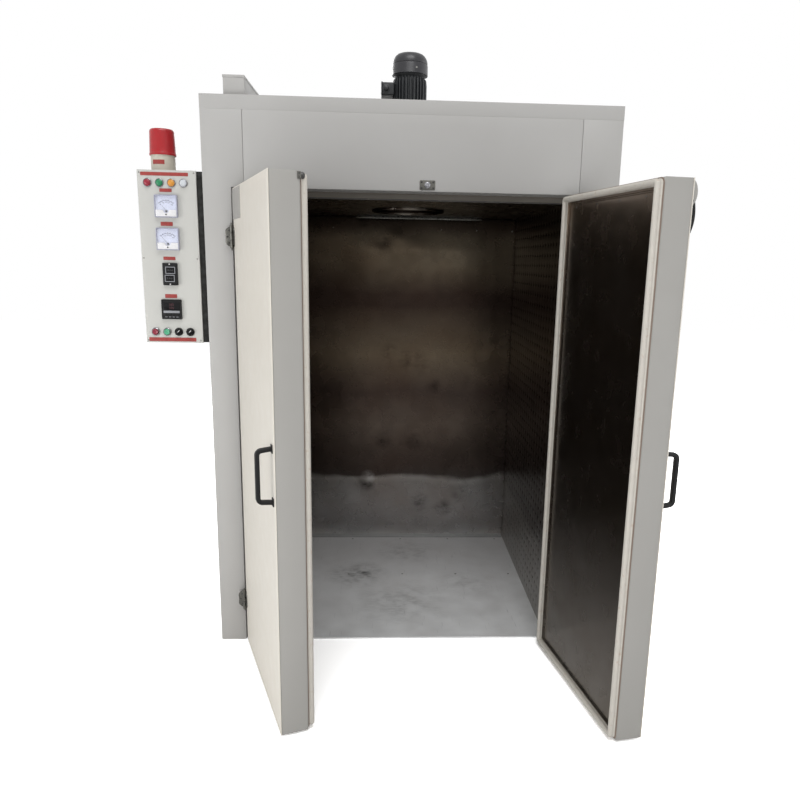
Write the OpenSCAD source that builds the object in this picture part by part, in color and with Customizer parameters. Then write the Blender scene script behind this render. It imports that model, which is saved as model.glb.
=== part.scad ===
// Walk-in hot-air oven for trolleys: an insulated cabinet with two hinged doors,
// a fan in the roof and a control box on the left side.
// The origin is on the ground in the middle of the cabinet, with the doors facing -Y.
// Doors are drawn open, as found. All sizes are in millimetres.

/* [Cabinet] */
// Depth from the front frame to the back, without the doors
cab_d = 1230; // [1100:10:1500]
// Thickness of the insulated side walls
wall_t = 100; // [60:5:120]
// Thickness of the insulated back wall
back_t = 115; // [80:5:140]
// Height of the roof's front edge
roof_edge = 47; // [30:1:60]
// How far the roof's insulation hangs between the walls
roof_pad = 53; // [20:1:80]

// Width of the air duct between a perforated wall and the insulation
duct_w = 72; // [50:1:90]
// Height of the fan space over the ceiling sheet
fan_space = 233; // [215:1:280]

/* [Chamber] */
// Width between the perforated walls
chamber_w = 1156; // [1000:2:1200]
// Height from the floor to the ceiling sheet
chamber_h = 1742; // [1600:2:1760]
// Thickness of the stainless sheets
sheet_t = 2; // [1:0.5:3]
// Thickness of the floor plate
floor_t = 3; // [2:0.5:4]
// Diameter of the air holes in the side sheets
air_hole_d = 10; // [6:1:14]
// Spacing of the air holes along the depth
air_pitch_y = 50; // [40:1:70]
// Spacing of the air holes along the height
air_pitch_z = 43; // [36:1:60]
// Diameter of the fan inlet in the ceiling
inlet_d = 320; // [240:10:360]

/* [Front frame] */
// Depth of the front frame
frame_d = 115; // [100:5:130]
// Height of the header's lower edge over the ceiling sheet
lintel_h = 25; // [15:1:40]
// Depth from the front face to the step that the gaskets close on
rebate_d = 98; // [90:1:105]
// Distance of the header's upright seams in from the cabinet's sides
seam_in = 146; // [110:1:160]

/* [Doors] */
// Distance of each hinge pin in from the cabinet's side
pin_in = 102; // [95:1:120]
// How far the hinge pins stand in front of the frame
pin_out = 25.4; // [22:0.2:30]
// Distance from the hinge pin back to the door's outer face
pin_to_face = 7.4; // [7:0.1:9]
// Half of the gap between the closed doors
door_gap = 6.5; // [5:0.5:15]
// Thickness of a door's insulated shell
door_t = 92; // [70:1:95]
// Height of a door's lower edge
door_low = 8.5; // [8.5:0.5:20]
// Gap between a closed door and the header
door_clear = 6.5; // [5:0.5:15]
// Width of the gasket frame
gasket_w = 25; // [18:1:35]
// Thickness of the gasket frame
gasket_t = 22.5; // [10:0.5:22.5]
// How far the gasket frame is set in from the door's edges
gasket_in = 6; // [6:1:12]
// Angle of the left door in the rest position
left_open = 70.15; // [0:0.05:165]
// Angle of the right door in the rest position
right_open = 100; // [0:0.05:165]
// Height of the middle of the handles
handle_z = 880; // [700:5:1100]
// Length of the handles
handle_l = 186; // [120:1:240]
// Distance of the handles from the doors' free edges
handle_in = 28.5; // [25:0.5:60]

/* [Hinges] */
// Height of the middle of the lower hinges
hinge_low = 190; // [120:1:300]
// Distance of the upper hinges down from the doors' upper edge
hinge_drop = 166.5; // [120:0.5:300]
// Height of a hinge leaf
leaf_h = 72; // [60:1:90]
// Width of a hinge leaf
leaf_w = 24; // [18:1:30]
// Thickness of a hinge leaf
leaf_t = 3; // [2:0.5:4]
// Radius of a hinge pin
pin_r = 3.5; // [3:0.1:4]
// Running clearance of a hinge pin
pin_gap = 0.05; // [0.02:0.01:0.1]
// Outer radius of a knuckle
knuckle_r = 6.5; // [5.5:0.1:7]

/* [Latch] */
// Distance of the latch from the right door's free edge
latch_in = 41.5; // [25:0.5:100]
// Distance of the lever's pin down from the door's upper edge
latch_drop = 60.5; // [57:0.5:200]
// Width over the latch's cheeks
latch_w = 38; // [30:1:44]
// Width of the lever
lever_w = 28; // [20:1:30]
// How far the latch body bulges from the door
latch_bulge = 18; // [16:1:22]
// Distance of the lever's pin from the door's face
latch_pin_out = 9; // [8:0.5:10]
// Radius of the lever's pin
latch_pin_r = 3; // [2:0.5:4]

/* [Fan] */
// Diameter of the fan wheel
wheel_d = 380; // [300:10:420]
// Height of the fan wheel's blades
blade_h = 90; // [60:5:100]
// Number of blades
blades = 12; // [8:1:16]
// Radius of the fan shaft
shaft_r = 12; // [8:1:16]
// Diameter of the motor over its fins
motor_d = 142; // [120:1:180]
// Height of the motor's top over the roof
motor_h = 309; // [280:1:340]
// Height of the bell mouth under the fan wheel
ring_h = 48; // [40:1:60]
// Radius of the bell mouth's curve
mouth_r = 35; // [25:1:40]
// Width of the bell mouth's flange
mouth_lip = 24; // [15:1:30]
// Thickness of the wheel's plates and blades
plate_t = 3; // [2:0.5:4]
// Diameter of the wheel's hub
hub_d = 60; // [40:2:80]
// Number of fins around the motor
motor_fins = 28; // [16:2:40]

/* [Controls] */
// Width of the control box
box_w = 207; // [180:1:260]
// Height of the control box
box_h = 612; // [500:1:700]
// Depth of the control box
box_d = 180; // [120:5:220]
// Distance of the control box's lower edge down from the roof
box_drop = 867; // [700:1:1100]
// Thickness of the insulating pad behind the control box
pad_t = 24; // [10:1:40]
// Diameter of the pilot lamps and the switch rings
lamp_d = 30; // [22:1:30]
// Travel of the push buttons
push_travel = 4; // [2:0.5:5]

/* [Roof trunking] */
// Width of the trunking
trunk_w = 74; // [50:1:100]
// Height of the trunking
trunk_h = 70; // [40:1:90]
// Distance of the trunking in from the cabinet's side
trunk_in = 78; // [40:1:120]
// Length of the trunking
trunk_l = 660; // [400:10:900]
// Distance of the trunking back from the front face
trunk_back = 30; // [0:5:60]

/* [Hidden] */
$fn = 48;

half_chamber = chamber_w / 2;
half_w = half_chamber + duct_w + wall_t;
cab_h = chamber_h + fan_space + roof_pad + roof_edge;
front_y = -cab_d / 2;
back_y = cab_d / 2;
wall_top = cab_h - roof_edge;
chamber_front = front_y + frame_d;
chamber_back = back_y - back_t;
step_y = front_y + rebate_d;
header_z = chamber_h + lintel_h;
seam_x = half_w - seam_in;
pin_x = half_w - pin_in;
jamb_x = pin_x + 5.5;
pin_y = front_y - pin_out;
door_w = pin_x - door_gap;
door_top = header_z - door_clear;
hinge_z = [hinge_low, door_top - hinge_drop];
handle_s = door_w - handle_in;
latch_s = door_w - latch_in;
latch_pin_z = door_top - latch_drop;
steel_grey = [0.78, 0.78, 0.77];
door_cream = [0.86, 0.85, 0.80];
stainless = [0.62, 0.60, 0.57];
black = [0.08, 0.08, 0.08];
chrome = [0.80, 0.80, 0.82];

// Fan levels, from the ceiling upwards
wheel_z = chamber_h + ring_h + 2 * plate_t;
wheel_top = wheel_z + blade_h + 2 * plate_t;
flange_t = 12;
motor_z = cab_h + flange_t;
motor_top = cab_h + motor_h;
cowl_h = 88;
cowl_z = motor_top - cowl_h;

// Control box faces
box_right = -half_w - pad_t;
box_mid = box_right - box_w / 2;
panel_t = 16;
seal_t = 4;
panel_y = front_y + 10;
seal_y = panel_y + panel_t;
body_y = seal_y + seal_t;
box_z = cab_h - box_drop;
box_top = box_z + box_h;
lamp_z = box_top - 44;
switch_z = box_z + 40.5;
lamp_x = [for (i = [0:3]) box_mid - 4.5 + (i - 1.5) * 42];
instrument_x = box_mid - 4.5;
upper_meter_z = box_z + 488;
lower_meter_z = box_z + 374;
relay_z = box_z + 250;
controller_z = box_z + 123;
beacon_x = box_mid - 34.5;
button_r = 11;
ring_t = 7;

// Box given by its low and high corners
module block(low, high) {
    translate(low) cube(high - low);
}

// Cylinder along Y from y0 back to y1
module rod_y(x, z, r, y0, y1) {
    translate([x, y1, z]) rotate([90, 0, 0]) cylinder(r = r, h = y1 - y0);
}

// Door parts are drawn about the hinge pin: +X to the free edge, +Y inwards
module on_left_door() {
    translate([-pin_x, pin_y, 0]) rotate([0, 0, -left_open]) children();
}

module on_right_door() {
    translate([pin_x, pin_y, 0]) rotate([0, 0, right_open]) mirror([1, 0, 0]) children();
}

module side_wall(side) {
    color(steel_grey) translate([side > 0 ? half_w - wall_t : -half_w, chamber_front, 0])
        cube([wall_t, cab_d - frame_d, wall_top]);
}

module left_side_wall() { side_wall(-1); }
module right_side_wall() { side_wall(1); }

module back_wall() {
    color(steel_grey) block([-half_w + wall_t, chamber_back, 0], [half_w - wall_t, back_y, wall_top]);
}

module roof() {
    color(steel_grey) difference() {
        union() {
            block([-half_w, front_y, wall_top], [half_w, back_y, cab_h]);
            block([-half_w + wall_t, chamber_front, wall_top - roof_pad],
                [half_w - wall_t, chamber_back, wall_top]);
        }
        translate([0, 0, wall_top - roof_pad - 1]) cylinder(r = shaft_r + 8, h = roof_edge + roof_pad + 2);
    }
}

// Upright of the front frame, with the step that the gasket closes on
module front_post(side) {
    color(steel_grey) mirror([side > 0 ? 0 : 1, 0, 0]) {
        block([jamb_x, front_y, 0], [half_w, step_y, header_z]);
        block([half_chamber, step_y, 0], [half_w, chamber_front, header_z]);
        block([seam_x, front_y, header_z], [half_w, chamber_front, wall_top]);
    }
}

module left_front_post() { front_post(-1); }
module right_front_post() { front_post(1); }

module header() {
    color(steel_grey) {
        block([-seam_x, front_y, header_z], [seam_x, chamber_front, wall_top]);
        block([-half_chamber, step_y, chamber_h], [half_chamber, chamber_front, header_z]);
    }
}

module floor_plate() {
    color(stainless) {
        block([-half_chamber, front_y, 0], [half_chamber, chamber_front, floor_t]);
        block([-half_w + wall_t, chamber_front, 0], [half_w - wall_t, chamber_back, floor_t]);
    }
}

module back_liner() {
    color(stainless) block([-half_chamber, chamber_back - sheet_t, floor_t],
        [half_chamber, chamber_back, chamber_h]);
}

// Perforated sheet in front of a side air duct
module air_wall(side) {
    depth = chamber_back - sheet_t - chamber_front;
    height = chamber_h - floor_t;
    cols = floor((depth - 40) / air_pitch_y);
    rows = floor((height - 50) / air_pitch_z);
    y0 = (depth - cols * air_pitch_y) / 2;
    color(stainless) translate([side * half_chamber, chamber_front, floor_t])
        rotate([90, 0, 90]) mirror([0, 0, side > 0 ? 0 : 1]) linear_extrude(height = sheet_t) difference() {
            square([depth, height]);
            for (i = [0:cols], j = [0:rows])
                translate([y0 + i * air_pitch_y, 51 - floor_t + j * air_pitch_z])
                    circle(d = air_hole_d, $fn = 16);
        }
}

module left_air_wall() { air_wall(-1); }
module right_air_wall() { air_wall(1); }

module ceiling_sheet() {
    color(stainless) difference() {
        block([-half_chamber - sheet_t, chamber_front, chamber_h],
            [half_chamber + sheet_t, chamber_back, chamber_h + sheet_t]);
        translate([0, 0, chamber_h - 1]) cylinder(d = inlet_d, h = sheet_t + 2, $fn = 72);
    }
}

// Bell mouth that leads the air into the fan wheel
module inlet_ring() {
    throat = inlet_d / 2 - mouth_r;
    curve_h = ring_h - mouth_r / 3;
    color(stainless) translate([0, 0, chamber_h + sheet_t]) rotate_extrude($fn = 72) difference() {
        union() {
            translate([inlet_d / 2, 0]) square([mouth_lip, plate_t]);
            translate([throat, curve_h]) square([plate_t, mouth_r / 3 + sheet_t]);
            intersection() {
                translate([inlet_d / 2, curve_h]) circle(r = mouth_r);
                translate([throat, 0]) square([mouth_r, curve_h]);
            }
        }
        intersection() {
            translate([inlet_d / 2, curve_h]) circle(r = mouth_r - plate_t);
            translate([throat, 0]) square([mouth_r + 1, ring_h]);
        }
    }
}

// Backward-inclined centrifugal wheel: shroud ring, blades, back plate and hub
eye_r = inlet_d / 2 - 28;

module fan_shroud() {
    color(stainless) translate([0, 0, wheel_z]) difference() {
        cylinder(d = wheel_d, h = plate_t, $fn = 72);
        translate([0, 0, -1]) cylinder(r = eye_r, h = plate_t + 2, $fn = 72);
    }
}

module fan_blades() {
    blade_l = (wheel_d / 2 - eye_r) * 1.04;
    color(stainless) for (i = [0:blades - 1]) rotate([0, 0, i * 360 / blades])
        translate([0, eye_r, wheel_z + plate_t]) rotate([0, 0, 35])
            translate([0, 2, 0]) cube([plate_t, blade_l, blade_h]);
}

module fan_back_plate() {
    color(stainless) translate([0, 0, wheel_z + plate_t + blade_h]) difference() {
        cylinder(d = wheel_d, h = plate_t, $fn = 72);
        translate([0, 0, -1]) cylinder(r = shaft_r, h = plate_t + 2);
    }
}

module fan_hub() {
    color(chrome) translate([0, 0, wheel_top]) difference() {
        cylinder(d = hub_d, h = hub_d * 2 / 3);
        translate([0, 0, -1]) cylinder(r = shaft_r, h = hub_d);
    }
}

module fan_shaft() {
    color(chrome) translate([0, 0, wheel_top - plate_t])
        cylinder(r = shaft_r, h = motor_z - wheel_top + plate_t);
}

module motor_flange() {
    color(black) translate([0, 0, cab_h]) difference() {
        union() {
            block([-95, -95, 0], [95, 95, 6]);
            cylinder(r = motor_d / 2 + 12, h = flange_t);
        }
        translate([0, 0, -1]) cylinder(r = shaft_r, h = flange_t + 2);
    }
}

// Finned motor housing
module motor_body() {
    core_r = motor_d / 2 - 11;
    color(black) translate([0, 0, motor_z]) {
        cylinder(r = core_r + 8, h = 16);
        linear_extrude(height = cowl_z - motor_z) {
            circle(r = core_r);
            for (i = [0:motor_fins - 1]) rotate(i * 360 / motor_fins)
                translate([core_r - 2, -1.5]) square([13, 3]);
        }
    }
}

// Fan cowl in two tiers
module motor_cowl() {
    low_r = motor_d / 2 + 5;
    top_r = motor_d / 2 - 3;
    tier = 44;
    round_r = 14;
    color([0.16, 0.16, 0.16]) translate([0, 0, cowl_z]) rotate_extrude($fn = 64) {
        square([low_r, tier - 4]);
        square([low_r - 4, tier]);
        square([top_r, cowl_h - round_r]);
        square([top_r - round_r, cowl_h]);
        translate([top_r - round_r, cowl_h - round_r]) intersection() {
            circle(r = round_r);
            square(round_r);
        }
    }
}

module motor_terminal_box() {
    color(black) difference() {
        block([-motor_d / 2 - 51, -46, motor_z + 122], [-motor_d / 2 + 8, 46, motor_z + 175]);
        translate([0, 0, motor_z]) cylinder(r = motor_d / 2, h = cowl_z - motor_z);
    }
}

// Cable trunking along the left edge of the roof
module roof_trunking() {
    color(steel_grey) translate([-half_w + trunk_in, front_y + trunk_back, cab_h])
        cube([trunk_w, trunk_l, trunk_h]);
}

// Striker plate on the header for the right door's latch
module keeper() {
    color(chrome) translate([pin_x - latch_s + 2, front_y, header_z + 22]) {
        block([-28, -3, -17], [28, 0, 17]);
        translate([0, -3, 0]) rotate([90, 0, 0]) cylinder(r = 11, h = 7);
        translate([0, -10, 0]) rotate([90, 0, 0]) cylinder(r = 8, h = 6);
    }
}

// Outline of a rounded hinge leaf, from the pin outwards
module leaf_outline() {
    round_r = (leaf_h * leaf_h / 4 + leaf_w * leaf_w) / (2 * leaf_w);
    intersection() {
        translate([leaf_w - round_r, 0]) circle(r = round_r, $fn = 96);
        translate([0, -leaf_h / 2]) square([leaf_w, leaf_h]);
    }
}

module leaf() {
    translate([0, pin_to_face, 0]) rotate([90, 0, 0]) linear_extrude(height = leaf_t) leaf_outline();
}

knuckle_h = 26;
knuckle_space = 1;
knuckle_cut = knuckle_r + 0.9;

// Frame half of one hinge: packer, leaf, two knuckles and the pin
module frame_hinge() {
    mirror([1, 0, 0]) difference() {
        union() {
            block([jamb_x - pin_x + 0.5, pin_to_face, -leaf_h / 2 + 4], [leaf_w, pin_out, leaf_h / 2 - 4]);
            leaf();
        }
        translate([0, 0, -knuckle_h / 2 - knuckle_space]) cylinder(r = knuckle_cut, h = knuckle_h + 2 * knuckle_space);
    }
    for (z = [-1.5 * knuckle_h - knuckle_space, knuckle_h / 2 + knuckle_space])
        translate([0, 0, z]) cylinder(r = knuckle_r, h = knuckle_h);
    translate([0, 0, -1.5 * knuckle_h - 5]) cylinder(r = pin_r, h = 3 * knuckle_h + 10);
}

// Door half of one hinge: leaf and the middle knuckle, bored for the pin
module door_hinge() {
    difference() {
        union() {
            difference() {
                leaf();
                for (z = [-2 * knuckle_h, knuckle_h / 2])
                    translate([0, 0, z]) cylinder(r = knuckle_cut, h = 1.5 * knuckle_h);
            }
            translate([0, 0, -knuckle_h / 2]) cylinder(r = knuckle_r, h = knuckle_h);
        }
        translate([0, 0, -knuckle_h]) cylinder(r = pin_r + pin_gap, h = 2 * knuckle_h);
    }
}

module left_frame_hinges() {
    color(chrome) for (z = hinge_z) translate([-pin_x, pin_y, z]) frame_hinge();
}

module right_frame_hinges() {
    color(chrome) for (z = hinge_z) translate([pin_x, pin_y, z]) mirror([1, 0, 0]) frame_hinge();
}

module control_box() {
    color(steel_grey) block([box_right - box_w, body_y, box_z], [box_right, panel_y + box_d, box_top]);
}

module control_seal() {
    color(black) block([box_right - box_w + 2, seal_y, box_z + 2], [box_right - 2, body_y, box_top - 2]);
}

module control_panel() {
    color(steel_grey) difference() {
        block([box_right - box_w, panel_y, box_z], [box_right, seal_y, box_top]);
        for (x = lamp_x) rod_y(x, switch_z, button_r + 0.6, panel_y - 1, panel_y + 12);
    }
}

module control_pad() {
    color(black) block([-half_w - pad_t, panel_y + 4, box_z + 2], [-half_w, panel_y + box_d - 6, box_top - 2]);
}

module beacon_base() {
    color([0.80, 0.77, 0.68]) translate([beacon_x, panel_y + 92, box_top]) {
        cylinder(r = 46, h = 5);
        cylinder(r = 43, h = 58);
    }
}

module beacon_lens() {
    color([0.85, 0.12, 0.12]) translate([beacon_x, panel_y + 92, box_top + 58]) rotate_extrude($fn = 64) {
        square([47, 8]);
        polygon([[0, 0], [46, 0], [43, 88], [40, 93], [0, 93]]);
    }
}

// Four pilot lamps: a chrome ring and a domed lens each
module pilot_lamps() {
    tints = [[0.75, 0.1, 0.15], [0.1, 0.6, 0.3], [0.95, 0.65, 0.1], [0.9, 0.9, 0.9]];
    for (i = [0:3]) color(tints[i]) translate([lamp_x[i], panel_y, lamp_z]) rotate([90, 0, 0]) {
        cylinder(d = lamp_d, h = 5);
        cylinder(d = lamp_d - 5, h = 11);
    }
}

module meter(z) {
    color([0.9, 0.9, 0.93]) {
        block([instrument_x - 40, panel_y - 14, z - 39], [instrument_x + 40, panel_y, z + 39]);
    }
}

module upper_meter() { meter(upper_meter_z); }
module lower_meter() { meter(lower_meter_z); }

module time_relay() {
    color(black) block([instrument_x - 24, panel_y - 12, relay_z - 40], [instrument_x + 28, panel_y, relay_z + 40]);
}

module temperature_controller() {
    color(black) block([instrument_x - 36, panel_y - 10, controller_z - 36],
        [instrument_x + 36, panel_y, controller_z + 36]);
}

// Collars that the push buttons and selectors sit in
module switch_rings() {
    color(chrome) for (x = lamp_x) difference() {
        rod_y(x, switch_z, lamp_d / 2, panel_y - ring_t, panel_y);
        rod_y(x, switch_z, button_r + 0.6, panel_y - ring_t - 1, panel_y + 1);
    }
}

module push_button(i) {
    rod_y(lamp_x[i], switch_z, button_r, panel_y - ring_t - push_travel - 1, panel_y + 6);
}

module red_button() { color([0.7, 0.1, 0.15]) push_button(0); }
module green_button() { color([0.1, 0.6, 0.3]) push_button(1); }

// Rotary selector: a round base with a raised finger grip
module selector(i) {
    rod_y(lamp_x[i], switch_z, button_r, panel_y - ring_t - 2, panel_y + 6);
    translate([lamp_x[i], panel_y - ring_t - 2, switch_z]) rotate([0, 45, 0])
        block([-3.5, -11, -10.5], [3.5, 0, 10.5]);
}

module left_selector() { color(black) selector(2); }
module right_selector() { color(black) selector(3); }

module door_shell() {
    block([0, pin_to_face, door_low], [door_w, pin_to_face + door_t, door_top]);
}

module door_liner() {
    margin = gasket_in + gasket_w;
    block([margin, pin_to_face + door_t, door_low + margin],
        [door_w - margin, pin_to_face + door_t + sheet_t, door_top - margin]);
}

module door_gasket() {
    outer = gasket_in;
    inner = gasket_in + gasket_w;
    base = pin_to_face + door_t;
    difference() {
        block([outer, base, door_low + outer], [door_w - outer, base + gasket_t, door_top - outer]);
        block([inner, base - 1, door_low + inner], [door_w - inner, base + gasket_t + 1, door_top - inner]);
    }
}

// Bridge handle: two feet and a bar that stands off the door
module door_handle() {
    half = handle_l / 2;
    reach = 53;
    bar = 14;
    translate([handle_s - 9, pin_to_face, handle_z]) rotate([90, 0, 90]) linear_extrude(height = 18)
        difference() {
            polygon([[0, -half], [-reach + 12, -half + 4], [-reach, -half + 16], [-reach, half - 16],
                [-reach + 12, half - 4], [0, half]]);
            polygon([[1, -half + 17], [-reach + bar + 6, -half + 19], [-reach + bar, -half + 25],
                [-reach + bar, half - 25], [-reach + bar + 6, half - 19], [1, half - 17]]);
        }
}

module door_hinges() {
    for (z = hinge_z) translate([0, 0, z]) door_hinge();
}

module left_door_shell() { color(door_cream) on_left_door() door_shell(); }
module left_door_liner() { color(stainless) on_left_door() door_liner(); }
module left_door_gasket() { color(door_cream) on_left_door() door_gasket(); }
module left_door_handle() { color(black) on_left_door() door_handle(); }
module left_door_hinges() { color(chrome) on_left_door() door_hinges(); }
module right_door_shell() { color(door_cream) on_right_door() door_shell(); }
module right_door_liner() { color(stainless) on_right_door() door_liner(); }
module right_door_gasket() { color(door_cream) on_right_door() door_gasket(); }
module right_door_handle() { color(black) on_right_door() door_handle(); }
module right_door_hinges() { color(chrome) on_right_door() door_hinges(); }

// Outline of the latch body: a low bump on the door's face, X outwards and Y up from the pin
module latch_bump() {
    bump_r = 44;
    intersection() {
        translate([latch_bulge - bump_r, 20]) circle(r = bump_r, $fn = 96);
        translate([0, -bump_r]) square([bump_r, 3 * bump_r]);
    }
}

// Moves a side view, X outwards and Y up, to the latch on the door's face
module at_latch(width) {
    translate([latch_s + width / 2, pin_to_face, latch_pin_z]) rotate([90, 0, -90])
        linear_extrude(height = width) children();
}

// Two cheeks joined by a bridge above the lever, with the lever's pin across them
module latch_body() {
    color(chrome) on_right_door() {
        difference() {
            at_latch(latch_w) latch_bump();
            at_latch(lever_w + 1) translate([-1, -60]) square([60, 73]);
        }
        translate([latch_s - latch_w / 2, pin_to_face - latch_pin_out, latch_pin_z]) rotate([0, 90, 0])
            cylinder(r = latch_pin_r, h = latch_w);
    }
}

// Bowed lever that hangs below its pin
module latch_lever() {
    color(black) on_right_door() difference() {
        union() {
            translate([latch_s - lever_w / 2, pin_to_face - latch_pin_out, latch_pin_z]) rotate([0, 90, 0])
                cylinder(r = 7, h = lever_w);
            at_latch(lever_w)
                polygon([[15.5, 2], [17, -20], [13, -46], [6, -72], [3, -72], [7, -46], [9, -20], [6, 2]]);
        }
        translate([latch_s - latch_w, pin_to_face - latch_pin_out, latch_pin_z]) rotate([0, 90, 0])
            cylinder(r = latch_pin_r + pin_gap, h = 2 * latch_w);
    }
}

left_side_wall();
right_side_wall();
back_wall();
roof();
left_front_post();
right_front_post();
header();
floor_plate();
back_liner();
left_air_wall();
right_air_wall();
ceiling_sheet();
inlet_ring();
fan_shroud();
fan_blades();
fan_back_plate();
fan_hub();
fan_shaft();
motor_flange();
motor_body();
motor_cowl();
motor_terminal_box();
roof_trunking();
keeper();
left_frame_hinges();
right_frame_hinges();
control_box();
control_seal();
control_panel();
control_pad();
beacon_base();
beacon_lens();
pilot_lamps();
upper_meter();
lower_meter();
time_relay();
temperature_controller();
switch_rings();
red_button();
green_button();
left_selector();
right_selector();
left_door_shell();
left_door_liner();
left_door_gasket();
left_door_handle();
left_door_hinges();
right_door_shell();
right_door_liner();
right_door_gasket();
right_door_handle();
right_door_hinges();
latch_body();
latch_lever();
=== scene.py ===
import math

import bpy
import numpy as np
from mathutils import Matrix, Vector


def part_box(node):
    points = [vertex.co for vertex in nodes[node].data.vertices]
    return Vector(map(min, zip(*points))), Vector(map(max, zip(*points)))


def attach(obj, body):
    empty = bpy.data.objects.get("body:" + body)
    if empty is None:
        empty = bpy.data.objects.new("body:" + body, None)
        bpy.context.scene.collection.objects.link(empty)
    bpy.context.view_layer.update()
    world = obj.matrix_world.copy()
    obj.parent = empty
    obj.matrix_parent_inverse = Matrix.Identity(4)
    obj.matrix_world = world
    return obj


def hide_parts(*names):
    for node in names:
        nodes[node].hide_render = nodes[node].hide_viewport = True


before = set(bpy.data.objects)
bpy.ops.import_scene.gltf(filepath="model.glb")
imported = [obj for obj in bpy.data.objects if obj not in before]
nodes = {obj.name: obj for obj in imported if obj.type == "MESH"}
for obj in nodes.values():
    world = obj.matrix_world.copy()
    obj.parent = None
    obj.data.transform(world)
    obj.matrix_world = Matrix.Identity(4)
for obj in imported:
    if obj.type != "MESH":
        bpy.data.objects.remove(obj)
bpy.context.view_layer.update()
print("frame loaded:", len(nodes), "nodes")

mm = 0.001

# camera, solved from the edges of the cabinet and doors in the photograph
cameraView = {
    "place": (-0.1025, -3.2922, 1.5158),  # metres
    "yawDegrees": -2.892,
    "downDegrees": 12.268,
    "rollDegrees": 1.123,
    "focalPixels": 711.7,
    "framePixels": 800,
    "axisPixel": (418.1, 417.55),  # where the lens axis meets the picture
    "sensorWidth": 36,
    "farClip": 60,
}


def makeCamera(v):
    # forward is +Y turned by yaw and tipped down; right and up follow, then roll turns both about forward
    yaw, down, roll = (math.radians(v[k]) for k in ("yawDegrees", "downDegrees", "rollDegrees"))
    forward = Vector((-math.sin(yaw) * math.cos(down), math.cos(yaw) * math.cos(down), -math.sin(down)))
    level = Vector((math.cos(yaw), math.sin(yaw), 0))
    lift = level.cross(forward)
    right = level * math.cos(roll) + lift * math.sin(roll)
    up = lift * math.cos(roll) - level * math.sin(roll)
    data = bpy.data.cameras.new("camera")
    data.sensor_width = v["sensorWidth"]
    data.lens = v["focalPixels"] / v["framePixels"] * v["sensorWidth"]
    data.shift_x = (v["framePixels"] / 2 - v["axisPixel"][0]) / v["framePixels"]
    data.shift_y = (v["axisPixel"][1] - v["framePixels"] / 2) / v["framePixels"]
    data.clip_end = v["farClip"]
    cam = bpy.data.objects.new("camera", data)
    cam.matrix_world = Matrix.Translation(v["place"]) @ Matrix((right, up, -forward)).transposed().to_4x4()
    bpy.context.scene.collection.objects.link(cam)
    bpy.context.scene.camera = cam


makeCamera(cameraView)
bpy.context.scene.view_settings.view_transform = "Standard"
print("camera set")

# shapes: each returns (verts, faces) as whole arrays, in millimetres


def joined(*parts):
    # several shapes as one, with the face numbers moved on by the verts that come before
    verts, faces, start = [], [], 0
    for v, f in parts:
        v = np.asarray(v, float)
        verts.append(v)
        faces += [tuple(start + i for i in face) for face in f]
        start += len(v)
    return np.vstack(verts), faces


def gridFaces(rows, cols, closeRows=False, closeCols=False):
    # quads between neighbours of a rows x cols grid, wrapped round where a direction is closed
    r = np.arange(rows if closeRows else rows - 1)
    c = np.arange(cols if closeCols else cols - 1)
    r, c = (a.ravel() for a in np.meshgrid(r, c, indexing="ij"))
    r2, c2 = (r + 1) % rows, (c + 1) % cols
    return np.stack([r * cols + c, r2 * cols + c, r2 * cols + c2, r * cols + c2], 1)


def merged(verts, faces, nearer=0.001):
    # verts closer than `nearer` become one, and faces that shrink to a line go
    keys = np.round(np.asarray(verts) / nearer).astype(np.int64)
    _, first, back = np.unique(keys, axis=0, return_index=True, return_inverse=True)
    back = back.ravel()
    faces = back[np.asarray(faces)]
    return np.asarray(verts)[first], [tuple(dict.fromkeys(f)) for f in faces.tolist() if len(set(f)) > 2]


def slab(low, high, radius=2.0, spacing=60.0, bulge=None, bulgeFaces="xyz", together=False):
    # rounded box: each point q of a gridded box goes to c + radius * (q - c) / |q - c|, where c is q
    # held inside the box by the radius; bulge then moves points out along a face's normal, or with
    # `together` moves both faces of a thin sheet towards the low side
    low, high = np.asarray(low, float), np.asarray(high, float)
    radius = min(radius, (high - low).min() / 2 * 0.98)
    turn = radius * np.tan(np.radians([45, 22.5]))
    lines = []
    for a, b in zip(low, high):
        n = max(2, int(round((b - a - 2 * radius) / spacing)) + 1)
        middle = np.linspace(a + radius, b - radius, n)
        lines.append(np.concatenate([a + radius - turn, middle, b - radius + turn[::-1]]))
    verts, faces, start = [], [], 0
    for axis in range(3):
        u, w = (axis + 1) % 3, (axis + 2) % 3
        gu, gw = np.meshgrid(lines[u], lines[w], indexing="ij")
        for end, side in ((low[axis], 0), (high[axis], 1)):
            q = np.empty(gu.shape + (3,))
            q[..., axis], q[..., u], q[..., w] = end, gu, gw
            c = np.clip(q, low + radius, high - radius)
            away = q - c
            away /= np.linalg.norm(away, axis=-1, keepdims=True)
            p = c + radius * away
            if bulge is not None and "xyz"[axis] in bulgeFaces:
                su = np.clip((gu - low[u] - radius) / (high[u] - low[u] - 2 * radius), 0, 1)
                sw = np.clip((gw - low[w] - radius) / (high[w] - low[w] - 2 * radius), 0, 1)
                fade = np.minimum(1, 12 * su * (1 - su)) * np.minimum(1, 12 * sw * (1 - sw))
                p[..., axis] += (1 if side and not together else -1) * bulge(gu, gw, su, sw) * fade
            f = gridFaces(*gu.shape) + start
            verts.append(p.reshape(-1, 3))
            faces.append(f[:, ::-1] if side == 0 else f)
            start += gu.size
    return merged(np.vstack(verts), np.vstack(faces))


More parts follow.
